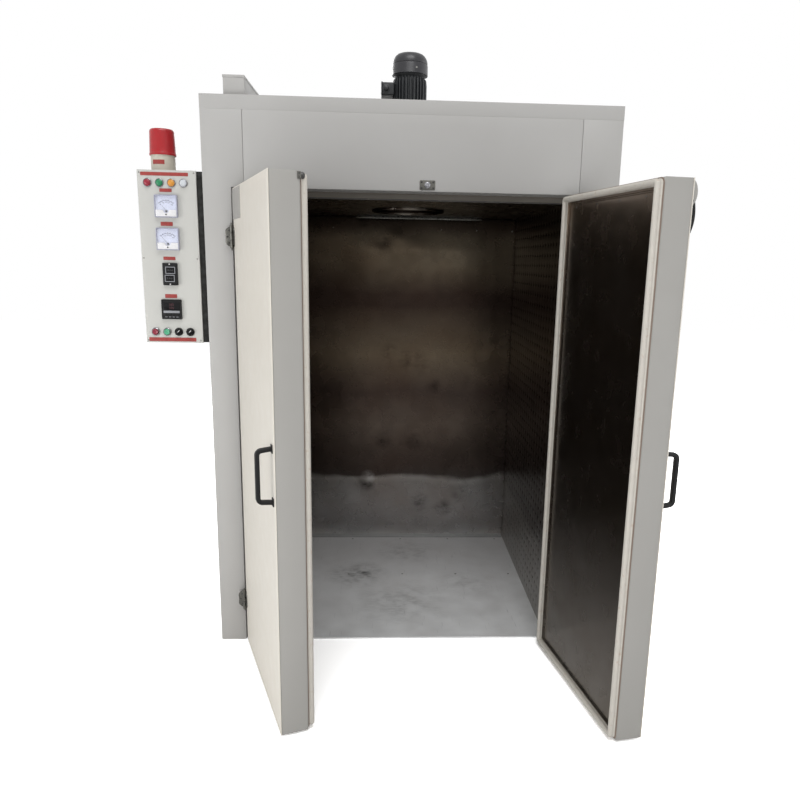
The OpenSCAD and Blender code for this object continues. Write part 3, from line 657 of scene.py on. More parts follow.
def backWall(c):
    low, high = span("back_wall")
    left, right = span("left_side_wall")[0][0], span("right_side_wall")[1][0]
    shell = (np.array([low[0] + 2, high[1] - c["sheet"] - 1, c["plinth"]]), np.array([high[0] - 2, high[1], high[2]]))
    parts = [slab(low, high - [0, c["sheet"], 0], 1)]
    for k, (a, b) in enumerate(sheetsAlong(*shell, 0, c["seamWidth"], c["seam"])):
        parts.append(slab(a, b, 1.4, 45, oilCan(c["wave"], 900, k + 4), "y"))
    a, b = shell[0].copy(), shell[1].copy()
    a[2], b[2] = 0, c["plinth"] - c["seam"]
    parts.append(slab(a, b, 1.4, 60))
    width, height, middle = c["cover"]
    parts.append(slab((-width / 2, high[1] - 1, middle - height / 2), (width / 2, high[1] + 5, middle + height / 2),
                      2.5, 40, pyramid(2.0), "y"))
    z = np.arange(c["plinth"] + 40, high[2] - 30, c["rivetPitch"])
    x = np.concatenate([[low[0] + c["rivetIn"] + 2, high[0] - c["rivetIn"] - 2],
                        [s + d for s in c["seamWidth"] for d in (-c["rivetIn"], c["rivetIn"])]])
    zz, xx = (v.ravel() for v in np.meshgrid(z, x))
    spots = np.stack([xx, np.full(len(zz), high[1]), zz], 1)
    addPiece("back_wall_rivets", copies(rivet(), spots, toBack), screwSteel, "cabinet")
    cx, cz = (v.ravel() for v in np.meshgrid(np.array([-1, 0, 1]) * (width / 2 - 12),
                                             middle + np.array([-1, 0, 1]) * (height / 2 - 12)))
    keep = (cx != 0) | (cz != middle)
    spots = np.stack([cx, np.full(9, high[1] + 5.2), cz], 1)[keep]
    addPiece("back_cover_screws", copies(crossScrew(4.5, 2.2), spots, toBack), screwSteel, "cabinet")
    addPiece("back_wall_clad", joined(*parts), greyPaint, "cabinet", ["back_wall"])


backWall(backCladding)

roofSheet = {"seamDepth": [57.0], "seam": 3.0, "rise": 3.0, "pad": 53.0, "screwPitch": 165.0, "screwIn": 14.0}


def roof(c):
    low, high = span("roof")
    wallLow, wallHigh = span("back_wall")
    base = span("left_side_wall")[1][2]
    parts = [slab((wallLow[0], span("left_air_wall")[0][1], low[2]), (wallHigh[0], wallLow[1], base + 2), 1),
             slab((low[0] + 3, low[1] + 3, base), (high[0] - 3, high[1] - 3, high[2] - 3), 1)]
    # the sheets turn down over the walls, 0.2 mm proud of them, so the joint hardly shows
    for a, b in sheetsAlong((low[0] - 0.2, low[1] - 0.2, base - 1.5), (high[0] + 0.2, high[1] + 0.2, high[2]), 1,
                            c["seamDepth"], c["seam"]):
        parts.append(slab(a, b, 0.35, 50, pyramid(c["rise"]), "z"))
    x = np.arange(low[0] + 60, high[0] - 30, c["screwPitch"])
    y = np.arange(low[1] + 60, high[1] - 30, c["screwPitch"])
    top = high[2]
    spots = [(v, w, top) for v in x for w in (low[1] + c["screwIn"], high[1] - c["screwIn"])]
    spots += [(v, w, top) for v in (low[0] + c["screwIn"], high[0] - c["screwIn"]) for w in y]
    spots += [(v, c["seamDepth"][0] + w, top) for v in x for w in (-c["screwIn"], c["screwIn"])]
    addPiece("roof_screws", copies(crossScrew(4.2, 2.0), spots), screwSteel, "cabinet")
    addPiece("roof_sheets", joined(*parts), greyPaint, "cabinet", ["roof"])


roof(roofSheet)

frontFrame = {"edge": 1.2, "jamb": 650.0, "wave": 0.7, "lipOut": 0.2, "lipHigh": 5.0, "screwPitch": 280.0}


def frontPost(name, side, c):
    low, high = span(name)
    headLow, headHigh = span("header")
    wallTop, stepY, headerZ = high[2], span("floor_plate")[0][1] + 98, span("keeper")[0][2] - 5
    jamb = c["jamb"]
    seam = headHigh[0]
    top = wallTop + 3
    outline = [(jamb, 0), (750, 0), (750, top), (seam + 1.0, top), (seam + 1.0, headerZ), (jamb, headerZ)]
    outline = np.array(outline)
    if side < 0:
        outline = (outline * [-1, 1])[::-1]
    face = moved(plate(outline, 98, c["edge"]), by=(0, stepY, 0))
    inner = slab((578 if side > 0 else -749, stepY - 1, 0), (749 if side > 0 else -578, high[1], headerZ), 1.2)
    upper = slab((seam + 1 if side > 0 else -749, stepY - 1, headerZ), (749 if side > 0 else -seam - 1, high[1], wallTop),
                 1.2)
    addPiece(name + "_folded", joined(face, inner, upper), greyPaint, "cabinet", [name])


frontPost("left_front_post", -1, frontFrame)
frontPost("right_front_post", 1, frontFrame)


def header(c):
    low, high = span("header")
    stepY = low[1] + 98
    headerZ = span("keeper")[0][2] - 5
    front = slab((low[0], low[1], headerZ), (high[0], high[1], high[2] + 3), c["edge"], 40, oilCan(c["wave"], 1100, 2),
                 "y")
    step = slab((-577.5, stepY, low[2]), (577.5, high[1], headerZ + 4), 1.6, 60)
    lip = slab((-576, stepY - c["lipOut"], low[2]), (576, stepY + 2, low[2] + c["lipHigh"]), 1.2, 60)
    addPiece("header_folded", front, greyPaint, "cabinet", ["header"])
    # the header's underside step in the painted-shade paint
    addPiece("header_step", step, lintelShadedPaint, "cabinet")
    addPiece("header_lip", lip, bluedSteel, "cabinet")


header(frontFrame)
print("cabinet clad")

# chamber: perforated air walls, dented back sheet, ceiling with the fan inlet, dusty floor

airWall = {
    "hole": 10.0,
    "pitch": (50.0, 43.0),  # along the depth and the height
    "collar": 0.5,  # how far the punch drew the rim of a hole in
    "collarWide": 1.6,
    "sheet": 1.6,
    "wave": 1.2,
    "dent": 2.4,
}


def thickened(verts, faces, offset):
    # a second surface at verts + offset facing the other way; each edge that only one face uses is
    # joined to its copy, which closes the sheet round its border and inside each hole
    verts, faces = np.asarray(verts, float), np.asarray(faces)
    n = len(verts)
    edges = np.concatenate([np.stack([faces[:, i], faces[:, (i + 1) % 4]], 1) for i in range(4)])
    pair = np.sort(edges, 1)
    _, first, count = np.unique(pair, axis=0, return_index=True, return_counts=True)
    rim = edges[first[count == 1]]
    sides = np.stack([rim[:, 1], rim[:, 0], rim[:, 0] + n, rim[:, 1] + n], 1)
    both = np.vstack([faces, faces[:, ::-1] + n, sides])
    return np.vstack([verts, verts + offset]), [tuple(f) for f in both.tolist()]


def perforated(depth, height, c, holes, start):
    # one square tile with a round hole: 16 rays from the circle to the square, on three rings, the
    # second of which is the raised rim; the tile is repeated over the whole sheet, and the outermost
    # tile borders are moved out to the sheet's border
    rays = np.arange(16) * np.pi / 8
    way = np.stack([np.cos(rays), np.sin(rays)], 1)
    square = way / np.abs(way).max(1, keepdims=True) * (np.array(c["pitch"]) / 2)
    r = c["hole"] / 2
    rings = np.stack([way * r, way * (r + c["collarWide"]), square])
    lift = np.array([-c["collar"], 0, 0])
    cols, rows = holes
    i, j = (a.ravel() for a in np.meshgrid(np.arange(cols), np.arange(rows), indexing="ij"))
    middle = np.stack([start[0] + i * c["pitch"][0], start[1] + j * c["pitch"][1]], 1)
    flat = middle[:, None, None] + rings[None]
    edge = np.isclose(np.abs(rings), np.array(c["pitch"]) / 2, atol=0.01)[None]
    edge = edge & (np.arange(3) == 2)[None, :, None, None]
    out = np.where(edge & (rings[None] < 0) & (np.stack([i, j], 1)[:, None, None] == 0), 0.0, flat)
    last = np.array([cols - 1, rows - 1])
    out = np.where(edge & (rings[None] > 0) & (np.stack([i, j], 1)[:, None, None] == last),
                   np.array([depth, height]), out)
    lifted = np.broadcast_to(lift[None, :, None, None], (len(i), 3, 16, 1))
    verts = np.concatenate([out, lifted], -1).reshape(-1, 3)
    tile = gridFaces(3, 16, closeCols=True)[:, ::-1]
    faces = (tile[None] + (np.arange(len(i)) * 48)[:, None, None]).reshape(-1, 4)
    keys = np.round(verts / 0.01).astype(np.int64)
    _, first, back = np.unique(keys, axis=0, return_index=True, return_inverse=True)
    return verts[first], back.ravel()[faces]


def airWallPiece(name, side, c):
    low, high = span(name)
    depth, height = high[1] - low[1], high[2] - low[2]
    cols, rows = int((depth - 40) // c["pitch"][0]) + 1, int((height - 50) // c["pitch"][1]) + 1
    start = ((depth - (cols - 1) * c["pitch"][0]) / 2, 51 - low[2])
    flat, faces = perforated(depth, height, c, (cols, rows), start)
    y, z, out = flat.T
    su, sw = y / depth, z / height
    fade = np.minimum(1, 12 * su * (1 - su)) * np.minimum(1, 12 * sw * (1 - sw))
    wave = oilCan(c["wave"], 700, 1.3 * side)(y, z, su, sw) * fade
    inner = low[0] if side > 0 else high[0]  # the face towards the chamber
    x = inner - side * (out + wave)
    verts = np.stack([x, low[1] + y, low[2] + z], 1)
    if side < 0:
        faces = faces[:, ::-1]
    addPiece(name + "_punched", thickened(verts, faces, (side * c["sheet"], 0, 0)), airSteel, "cabinet",
             [name])


airWallPiece("left_air_wall", -1, airWall)
airWallPiece("right_air_wall", 1, airWall)

chamberSheets = {
    "backWave": 2.6,
    "dents": [(-180, 1560, 130, 5.0), (60, 1590, 110, 4.5), (300, 1540, 160, 4.0), (250, 900, 120, -3.0),
              (-320, 820, 200, 3.0), (330, 380, 90, -3.0), (-60, 330, 160, 2.5), (120, 1180, 200, 3.0),
              (-110, 1620, 38, -3.0), (-30, 1655, 60, 3.0), (170, 862, 30, -2.6), (70, 557, 32, 2.4),
              (-105, 557, 34, -2.2), (-185, 328, 36, 4.0), (60, 990, 45, -3.2), (95, 1010, 30, 2.4),
              (240, 174, 36, -2.4), (110, 200, 50, 2.0), (20, 120, 40, -2.0), (-300, 210, 60, 2.4)],
    "screwPitch": 185.0,
    "railSpan": (-248, 388),
    "railDepth": 431,
    "foldHigh": 17.0,
}


def backLiner(c):
    low, high = span("back_liner")

    def dented(u, w, su, sw):
        # slow waves plus round dents: height * exp(-(distance / radius) ** 2)
        shape = oilCan(c["backWave"], 820, 0.7)(u, w, su, sw)
        for x, z, radius, height in c["dents"]:
            shape = shape + height * np.exp(-((w - x) ** 2 + (u - z) ** 2) / radius ** 2)
        return np.maximum(shape + c["backWave"], 0)

    sheet = slab(low, high, 0.9, 11, dented, "y", True)
    addPiece("back_liner_dented", sheet, backSteel, "cabinet", ["back_liner"])
    x = np.arange(low[0] + 28, high[0], c["screwPitch"])
    spots = [(v, low[1] - 0.5, w) for v in x for w in (low[2] + 22, high[2] - 58)]
    addPiece("back_liner_screws", copies(crossScrew(5.0, 2.4), spots, toFront), screwSteel, "cabinet")
    fold = swept([(0, 0), (c["foldHigh"], 0), (c["foldHigh"], 1.6), (1.6, 1.6), (1.6, c["foldHigh"]),
                  (0, c["foldHigh"])], [(low[0] + 3, low[1], low[2] + 0.5), (high[0] - 3, low[1], low[2] + 0.5)])
    addPiece("back_floor_fold", fold, foldSteel, "cabinet")


backLiner(chamberSheets)


def ceilingTrim(c):
    low, high = span("ceiling_sheet")
    ring = turnedRing([(161, -7), (161, 0.5), (157, 0.5), (157, -7), (157.6, -8.4), (159, -9), (160.4, -8.4)], 96)
    edge = moved(ring, by=(0, 0, low[2] - 0.5))
    a, b = c["railSpan"]
    d = c["railDepth"]
    rail = slab((a, d - 9, low[2] - 11), (b, d + 9, low[2] + 0.5), 2.2, 60)
    hook = slab((a, d - 13, low[2] - 13), (b, d - 8, low[2] - 4), 1.5, 60)
    addPiece("ceiling_inlet_rim", edge, brightSteel, "cabinet")
    addPiece("ceiling_joint_rail", joined(rail, hook), nickelPlate, "cabinet")
    angle = np.radians(np.arange(0, 360, 45) + 22.5)
    spots = np.stack([172 * np.cos(angle), 172 * np.sin(angle), np.full(8, low[2])], 1)
    rest = [(x, y, low[2]) for x in (-540, -270, 0, 270, 540) for y in (-470, 300)]
    addPiece("ceiling_screws", copies(crossScrew(5.0, 2.4), np.vstack([spots, rest]), about("X", 180)), screwSteel,
             "cabinet")


ceilingTrim(chamberSheets)

floorDetail = {"wave": 0.5, "noseHigh": 6.0, "noseDeep": 10.0, "screwPitch": 265.0}


def floorPiece(c):
    low, high = span("floor_plate")
    main = slab((low[0] + 1, low[1], 0.2), (high[0] - 1, high[1], high[2]), 0.9, 40, oilCan(c["wave"], 500, 5), "z")
    nose = slab((-652, low[1] - 2.5, 0.2), (652, low[1] + c["noseDeep"], c["noseHigh"]), 1.6, 60)
    addPiece("floor_sheet", main, floorSteel, "cabinet", ["floor_plate"])
    addPiece("floor_nosing", nose, floorSteel, "cabinet")
    x = np.arange(-530, 531, c["screwPitch"])
    spots = [(v, w, high[2]) for v in x for w in (0, 460)]
    addPiece("floor_screws", copies(crossScrew(5.5, 1.4), spots), screwSteel, "cabinet")


floorPiece(floorDetail)
print("chamber lined")

# doors: drawn about the hinge pin, X to the free edge, Y inwards; each is then turned to its place

doorPlace = {"pin": (648.0, -640.4), "left": 70.15, "right": 100.0, "face": 7.4, "gasket": 22.5}


def onDoor(shape, side, p=doorPlace):
    # left: turned by -angle about its pin; right: mirrored in X, then turned by +angle
    if side == "left":
        return moved(shape, about("Z", -p["left"]), (-p["pin"][0], p["pin"][1], 0))
    return moved(shape, about("Z", p["right"]) @ np.diag([-1, 1, 1]), (p["pin"][0], p["pin"][1], 0))


doorBody = {
    "width": 641.5,
    "low": 8.5,
    "top": 1760.5,
    "thick": 92.0,
    "skin": 3.4,  # depth of the cream sheet on the outer face
    "seam": 0.6,
    "wave": 1.0,
    "gasketIn": 6.0,
    "gasketWide": 25.0,
    "bulbIn": 4.5,  # the bulb is narrower than the channel it is pressed into
    "bulbWide": 20.0,
}


def doorPieces(side, d, p):
    face, width = p["face"], d["width"]
    back = face + d["thick"]
    skin = slab((0, face, d["low"]), (width, face + d["skin"], d["top"]), 2.4, 36, oilCan(d["wave"], 620, 2.2), "y")
    rim = slab((0.6, face + d["skin"] + d["seam"], d["low"] + 0.6), (width - 0.6, back - 3, d["top"] - 0.6), 1.6, 60,
               oilCan(0.5, 500, 1.0), "xz")
    core = slab((2.5, face + 4, d["low"] + 2.5), (width - 2.5, back - 1, d["top"] - 2.5), 1.0)
    lip = slab((1.5, back - 4.5, d["low"] + 1.5), (width - 1.5, back, d["top"] - 1.5), 1.4, 60)
    shell = side + "_door_shell"
    # outer skin in the painted-light copy of the door paint, edges in the painted-shade copy
    addPiece(side + "_door_skin", onDoor(skin, side), doorLitPaint, side + "_door", [shell])
    addPiece(side + "_door_edge", onDoor(joined(rim, core, lip), side), doorShadedPaint, side + "_door")

    margin = d["gasketIn"] + d["gasketWide"]
    low, high = d["low"] + margin, d["top"] - margin

    def dented(u, w, su, sw):
        # slow waves plus two shallow hollows where a trolley has leant: exp(-(distance / radius) ** 2)
        shape = oilCan(1.6, 760, 0.4 if side == "left" else 2.9)(u, w, su, sw)
        for x, z, radius, height in ((240, 620, 120, -2.2), (430, 1180, 150, -1.8)):
            shape = shape + height * np.exp(-((w - x) ** 2 + (u - z) ** 2) / radius ** 2)
        return shape

    liner = slab((margin - 1, back - 2, low - 1), (width - margin + 1, back + 2.0, high + 1), 1.0, 24, dented, "y", True)
    addPiece(side + "_door_lining", onDoor(liner, side), linerSteel, side + "_door",
             [side + "_door_liner"])
    # inner frame strip that holds the lining, with pan screws
    path = [(margin - 2, 0, low - 2), (width - margin + 2, 0, low - 2), (width - margin + 2, 0, high + 2),
            (margin - 2, 0, high + 2)]
    path = np.array(path) + [0, back, 0]
    strip = swept([(9, 0), (9, 3.0), (8, 3.8), (4, 3.8), (4, 6), (3.2, 6.8), (-2.4, 6.8), (-3.4, 5.8), (-3.4, 0)],
                  path, True, (0, 1, 0))
    addPiece(side + "_door_inner_strip", onDoor(strip, side), linerSteel, side + "_door")
    x = np.linspace(margin + 60, width - margin - 60, 4)
    z = np.linspace(low + 70, high - 70, 9)
    spots = [(v, back + 2, w) for v in x for w in (low + 15, high - 15)]
    spots += [(v, back + 2, w) for v in (margin + 15, width - margin - 15) for w in z]
    addPiece(side + "_door_lining_screws", onDoor(copies(crossScrew(3.6, 1.8, turns=24), spots, toBack), side),
             bluedSteel, side + "_door")
    # gasket: a channel foot and a hollow bulb; section (side, top) runs round the foot, then over the bulb
    half = d["bulbWide"] / 2
    angle = np.radians(np.linspace(-35, 215, 15))
    bulb = np.stack([(half - 0.8) * np.cos(angle), 13.4 + 9.0 * np.sin(angle)], 1)
    section = np.vstack([[(-half + 0.2, 0), (half - 0.2, 0), (half, 0.8), (half, 4.0), (half - 1.2, 5.2),
                          (half - 2.4, 6.4)], bulb, [(-half + 2.4, 6.4), (-half + 1.2, 5.2), (-half, 4.0), (-half, 0.8)]])
    mid = d["bulbIn"] + half
    zLow, zTop = d["low"] + mid, d["top"] - mid
    corner = np.radians(np.linspace(0, 90, 5))
    turn = 6.0
    ring = []
    for k, (x0, z0) in enumerate(((width - mid, zTop), (mid, zTop), (mid, zLow), (width - mid, zLow))):
        a = corner + k * np.pi / 2
        sx, sz = (1, -1, -1, 1)[k], (1, 1, -1, -1)[k]
        ring.append(np.stack([x0 - sx * turn + turn * np.cos(a), np.full(5, back), z0 - sz * turn + turn * np.sin(a)], 1))
    gasket = swept(section, np.vstack(ring)[::-1], True, (0, 1, 0))
    # sealing beads along both feet of the gasket: half rounds of 2.4 mm
    arc = np.radians(np.linspace(0, 180, 7))
    round_ = np.stack([2.4 * np.cos(arc), 2.6 * np.sin(arc)], 1)
    beads = [swept(round_ + [s * (half + 1.4), 0], np.vstack(ring)[::-1], True, (0, 1, 0)) for s in (-1, 1)]
    addPiece(side + "_door_seal_beads", onDoor(joined(*beads), side), beadRubber, side + "_door")
    addPiece(side + "_door_seal", onDoor(gasket, side), sealSilicone, side + "_door",
             [side + "_door_gasket"])


doorPieces("left", doorBody, doorPlace)
doorPieces("right", doorBody, doorPlace)

handle = {"reach": 53.0, "length": 186.0, "bar": 14.0, "wide": 18.0, "in": 28.5, "middle": 880.0, "bend": 14.0}


def handlePiece(side, h, d, p):
    # rounded section along a path of two legs and a bar, joined by quarter-circle bends
    half, face = h["length"] / 2, p["face"]
    x = d["width"] - h["in"]
    legZ, barY = half - 9, face - h["reach"] + h["bar"] / 2
    bend = np.radians(np.linspace(0, 90, 7))
    topY = barY + h["bend"] - h["bend"] * np.sin(bend)
    topZ = legZ - 3 - h["bend"] + h["bend"] * np.cos(bend)
    y = np.concatenate([[face - 1, face - 12], topY, topY[::-1], [face - 12, face - 1]])
    z = np.concatenate([[legZ, legZ - 1], topZ, -topZ[::-1], [-legZ + 1, -legZ]])
    path = np.stack([np.full(len(y), x), y, z + h["middle"]], 1)
    section = roundedOutline(h["bar"], h["wide"], 4.5, 4)
    bar = swept(section, path, up=(1, 0, 0))
    feet = [slab((x - 11, face - 3.5, h["middle"] + s * legZ - 13), (x + 11, face + 0.5, h["middle"] + s * legZ + 13), 1.6)
            for s in (-1, 1)]
    addPiece(side + "_door_pull", onDoor(joined(bar, *feet), side), blackNylon, side + "_door",
             [side + "_door_handle"])
    caps = turned([(4.2, -0.5), (4.2, 0.4), (3.4, 1.1), (1.8, 0.4), (0.2, 0.3)], 24)
    spots = [(x, face - h["reach"] + 0.4 + 8.5, h["middle"] + s * (legZ - 7)) for s in (-1, 1)]
    addPiece(side + "_door_pull_plugs", onDoor(copies(caps, spots, toFront), side), blackGloss, side + "_door")


handlePiece("left", handle, doorBody, doorPlace)
handlePiece("right", handle, doorBody, doorPlace)
print("doors made")

hinge = {"heights": (190.0, 1594.0), "leafHigh": 72.0, "leafWide": 24.0, "leafThick": 3.0, "knuckle": 6.5,
         "knuckleHigh": 26.0, "gap": 1.0, "tip": 9.0, "packer": 25.4}


def leafShape(h, sign):
    # butterfly outline: width * cos(a) ** 0.8 for a from -90 to 90 degrees of height, with a notch
    # of 2 mm where the waist meets the knuckle
    a = np.linspace(-np.pi / 2, np.pi / 2, 33)
    x = h["leafWide"] * np.cos(a) ** 0.8 * (1 - 0.10 * np.cos(4 * a))
    z = h["leafHigh"] / 2 * np.sin(a)
    x = x / x.max() * h["leafWide"]
    outline = np.stack([np.maximum(x, 0.2), z], 1)
    if sign < 0:
        outline = (outline * [-1, 1])[::-1]
    return outline


def knuckleShape(h, low, high):
    r = h["knuckle"]
    return turned([(r - 0.8, low), (r, low + 0.8), (r, high - 0.8), (r - 0.8, high)], 40)


def hingeParts(h, face):
    sunk = face
    leafFace = face - h["leafThick"]
    holes = [(9.5, 22.0), (16.0, 0.0), (9.5, -22.0)]
    doorLeaf = moved(plate(leafShape(h, 1), h["leafThick"], 0.9), by=(0, sunk, 0))
    frameLeaf = moved(plate(leafShape(h, -1), h["leafThick"], 0.9), by=(0, sunk, 0))
    half = h["knuckleHigh"] / 2
    middle = knuckleShape(h, -half, half)
    ends = [knuckleShape(h, a, a + h["knuckleHigh"]) for a in (half + h["gap"], -3 * half - h["gap"])]
    z = 3 * half + h["gap"]
    tip = [(3.6, -z + 1), (3.6, z - 1)]
    finial = [(0.2, -z - h["tip"]), (2.0, -z - h["tip"] + 1.2), (3.0, -z - h["tip"] + 3.5), (2.2, -z - 3.4), (2.2, -z - 2.6),
              (4.6, -z - 1.8), (4.6, -z)]
    pin = turned(finial + tip + [(r, -v) for r, v in finial[::-1]], 32)
    packer = slab((-h["leafWide"] + 0.5, sunk, -h["leafHigh"] / 2 + 6), (-6.2, h["packer"], h["leafHigh"] / 2 - 6), 1.5)
    screwsDoor = copies(crossScrew(3.5, 1.7), [(x, leafFace, v) for x, v in holes], toFront)
    screwsFrame = copies(crossScrew(3.5, 1.7), [(-x, leafFace, v) for x, v in holes], toFront)
    return joined(doorLeaf, middle), joined(frameLeaf, *ends, pin), packer, screwsDoor, screwsFrame


def hingePieces(side, h, p):
    doorHalf, frameHalf, packer, screwsDoor, screwsFrame = hingeParts(h, p["face"])
    lift = [(0, 0, z) for z in h["heights"]]
    closed = dict(p, left=0.0, right=0.0)
    addPiece(side + "_door_hinge_leaves", onDoor(copies(doorHalf, lift), side), nickelPlate, side + "_door",
             [side + "_door_hinges"])
    addPiece(side + "_door_hinge_screws", onDoor(copies(screwsDoor, lift), side), bluedSteel, side + "_door")
    addPiece(side + "_frame_hinge_leaves", onDoor(copies(frameHalf, lift), side, closed), nickelPlate, "cabinet",
             [side + "_frame_hinges"])
    addPiece(side + "_frame_hinge_packers", onDoor(copies(packer, lift), side, closed), greyPaint, "cabinet")
    addPiece(side + "_frame_hinge_screws", onDoor(copies(screwsFrame, lift), side, closed), bluedSteel, "cabinet")


hingePieces("left", hinge, doorPlace)
hingePieces("right", hinge, doorPlace)

cornerPlate = {"wide": 160.0, "high": 103.0, "thick": 2.0, "top": 1756.0}


def cornerPlatePiece(c, p):
    # a painted stiffening plate at the left door's upper hinge corner, four screws
    at = (c["wide"] / 2 + 3, p["face"], c["top"] - c["high"] / 2)
    sheet = plate(roundedOutline(c["wide"], c["high"], 2.0), c["thick"], 0.7)
    # the plate takes the painted-shade copy of the door paint
    addPiece("left_door_corner_plate", onDoor(moved(sheet, by=at), "left"), doorShadedPaint, "left_door")
    spots = [(at[0] + u, at[1] - c["thick"], at[2] + w) for u in (-70, 70) for w in (-42, 42)]
    addPiece("left_door_corner_plate_screws", onDoor(copies(crossScrew(3.4, 1.5), spots, toFront), "left"), screwSteel,
             "left_door")


cornerPlatePiece(cornerPlate, doorPlace)

latch = {"middle": 600.0, "pinHigh": 1700.0, "wide": 46.0, "leverWide": 34.0, "pinOut": 9.0, "bulge": 24.0,
         "leverLong": 96.0}


def easedSide(outline, width, edge):
    # a side view (out, up) made `width` thick with both rims eased, thickness along X
    sheet = moved(plate(outline, width, edge, True), by=(0, width / 2, 0))
    return moved(sheet, np.array([[0, 1, 0], [-1, 0, 0], [0, 0, 1]]))


def latchPieces(l, p):
    # body: a low bump that rises and falls as a cosine; lever: a bowed strip hung from its pin
    z = np.linspace(-16, 60, 25)
    out = l["bulge"] * np.cos((z - 22) / 38 * np.pi / 2) ** 0.4
    outline = np.vstack([[(-0.4, -16), ], np.stack([np.maximum(out, 0.2), z], 1), [(-0.4, 60)]])
    cheek = easedSide(outline, (l["wide"] - l["leverWide"] - 1) / 2, 1.4)
    inset = (l["wide"] + l["leverWide"] + 1) / 4
    bridge = easedSide(np.vstack([[(-0.4, 20.0)], outline[outline[:, 1] > 20]]), l["leverWide"] + 2, 0.4)
    at = (l["middle"], p["face"], l["pinHigh"])
    body = joined(*(moved(cheek, by=np.array(at) + [s * inset, 0, 0]) for s in (-1, 1)), moved(bridge, by=at))
    # the housing takes the painted-shade copy of the door paint
    addPiece("latch_housing", onDoor(body, "right"), doorShadedPaint, "right_door", ["latch_body"])
    pinEnd = turned([(3.6, -0.5), (3.6, 0.8), (2.6, 1.6), (0.2, 1.7)], 28)
    ends = joined(moved(pinEnd, toRight, (at[0] + l["wide"] / 2, at[1] - l["pinOut"], at[2])),
                  moved(pinEnd, toLeft, (at[0] - l["wide"] / 2, at[1] - l["pinOut"], at[2])))
    addPiece("latch_pin_ends", onDoor(ends, "right"), blackNylon, "right_door")
    t = np.linspace(0, 1, 15)
    outer = np.stack([22.0 + 8.0 * np.sin(np.pi * t * 0.8) - 12.0 * t ** 2, 3 - l["leverLong"] * t], 1)
    inner = np.stack([6.0 + 12.0 * np.tanh(6 * t) - 8.0 * t ** 2, 3 - l["leverLong"] * t], 1)
    lever = easedSide(np.vstack([outer[::-1], [(11, 6.6)], inner]), l["leverWide"] - 1, 1.6)
    boss = turned([(5.8, -l["leverWide"] / 2 + 0.5), (6.6, -l["leverWide"] / 2 + 1.4), (6.6, l["leverWide"] / 2 - 1.4),
                   (5.8, l["leverWide"] / 2 - 0.5)], 32)
    whole = joined(moved(lever, by=at), moved(boss, toRight, (at[0], at[1] - l["pinOut"], at[2])))
    addPiece("latch_pull", onDoor(whole, "right"), blackNylon, "latch_lever", ["latch_lever"])


latchPieces(latch, doorPlace)

keeperDetail = {"plate": (56, 34, 3), "boss": 11.0, "screw": 3.6}


def keeperPieces(k):
    low, high = span("keeper")
    cx, cz, y = (low[0] + high[0]) / 2, (low[2] + high[2]) / 2, high[1]
    w, h, t = k["plate"]
    base = moved(plate(roundedOutline(w, h, 4), t, 0.8), by=(cx, y, cz))
    r = k["boss"]
    boss = turned([(r, 0), (r, 4.6), (r - 1, 5.4), (7.4, 5.4), (6.6, 6.2), (6.6, 8.6), (7.8, 9.4), (8, 12.4), (7, 13),
                   (3, 13), (2.4, 12), (0.2, 12)], 48)
    addPiece("keeper_plate", base, nickelPlate, "cabinet", ["keeper"])
    addPiece("keeper_striker", moved(boss, toFront, (cx, y - t, cz)), chromePlate, "cabinet")
    spots = [(cx + a * (w / 2 - 7), y - t, cz + b * (h / 2 - 7)) for a in (-1, 1) for b in (-1, 1)]
    addPiece("keeper_screws", copies(crossScrew(k["screw"], 1.7), spots, toFront), bluedSteel, "cabinet")


keeperPieces(keeperDetail)

# strike knob that the left door's upper inner corner carries
strikeKnob = {"high": 1747.0, "bracket": (11.0, 20.0)}


def strikePiece(s, d, p):
    back = p["face"] + d["thick"]
    stem = turned([(6, 0), (6, 12), (9, 14), (10, 18), (9, 23), (6, 25.5), (0.5, 26)], 32)
    stem = moved(stem, toBack, (d["width"] - 8.5, back - 12, s["high"]))
    addPiece("left_door_strike", onDoor(stem, "left"), bluedSteel, "left_door")
    w, h = s["bracket"]
    at = (d["width"], back - w / 2 + 1.5, s["high"])
    bracket = slab((at[0] - 0.5, at[1] - w / 2, at[2] - h / 2), (at[0] + 2.2, at[1] + w / 2, at[2] + h / 2), 0.9)
    addPiece("left_door_strike_bracket", onDoor(bracket, "left"), nickelPlate, "left_door")
    spots = [(at[0] + 2.1, at[1], at[2] + v) for v in (-h / 4, h / 4)]
    addPiece("left_door_strike_screws", onDoor(copies(crossScrew(2.6, 1.2), spots, toRight), "left"), bluedSteel,
             "left_door")


strikePiece(strikeKnob, doorBody, doorPlace)
print("hinges and latch made")

# control box on the left side: body, seal, panel and what is set in it

controlBox = {"edge": 3.0, "panelEdge": 2.2, "louvres": 7, "louvrePitch": 26.0, "lampRow": 44.0}


def louvre(length, rise, high):
    # half an ellipse swept along Y and closed at the ends: out = rise * sin(t) ** 0.7 over `high`
    t = np.linspace(0, np.pi, 9)
    y = np.linspace(-1, 1, 21)
    out = rise * np.sin(t)[:, None] ** 0.7 * np.clip((1 - y[None] ** 8), 0, 1)
    z = np.repeat(-high / 2 * np.cos(t)[:, None], 21, 1)
    verts = np.stack([-out - 0.001, np.repeat(y[None] * length / 2, 9, 0), z], -1).reshape(-1, 3)
    back = verts * [0, 1, 1] + [0.6, 0, 0]
    faces = gridFaces(9, 21)
    n = len(verts)
    ring = np.concatenate([np.arange(0, 21), np.arange(1, 9) * 21 + 20, 8 * 21 + np.arange(19, -1, -1),
                           np.arange(7, 0, -1) * 21])
    sides = np.stack([ring, np.roll(ring, -1), np.roll(ring, -1) + n, ring + n], 1)
    return np.vstack([verts, back]), [tuple(f) for f in np.vstack([faces, faces[:, ::-1] + n, sides]).tolist()]


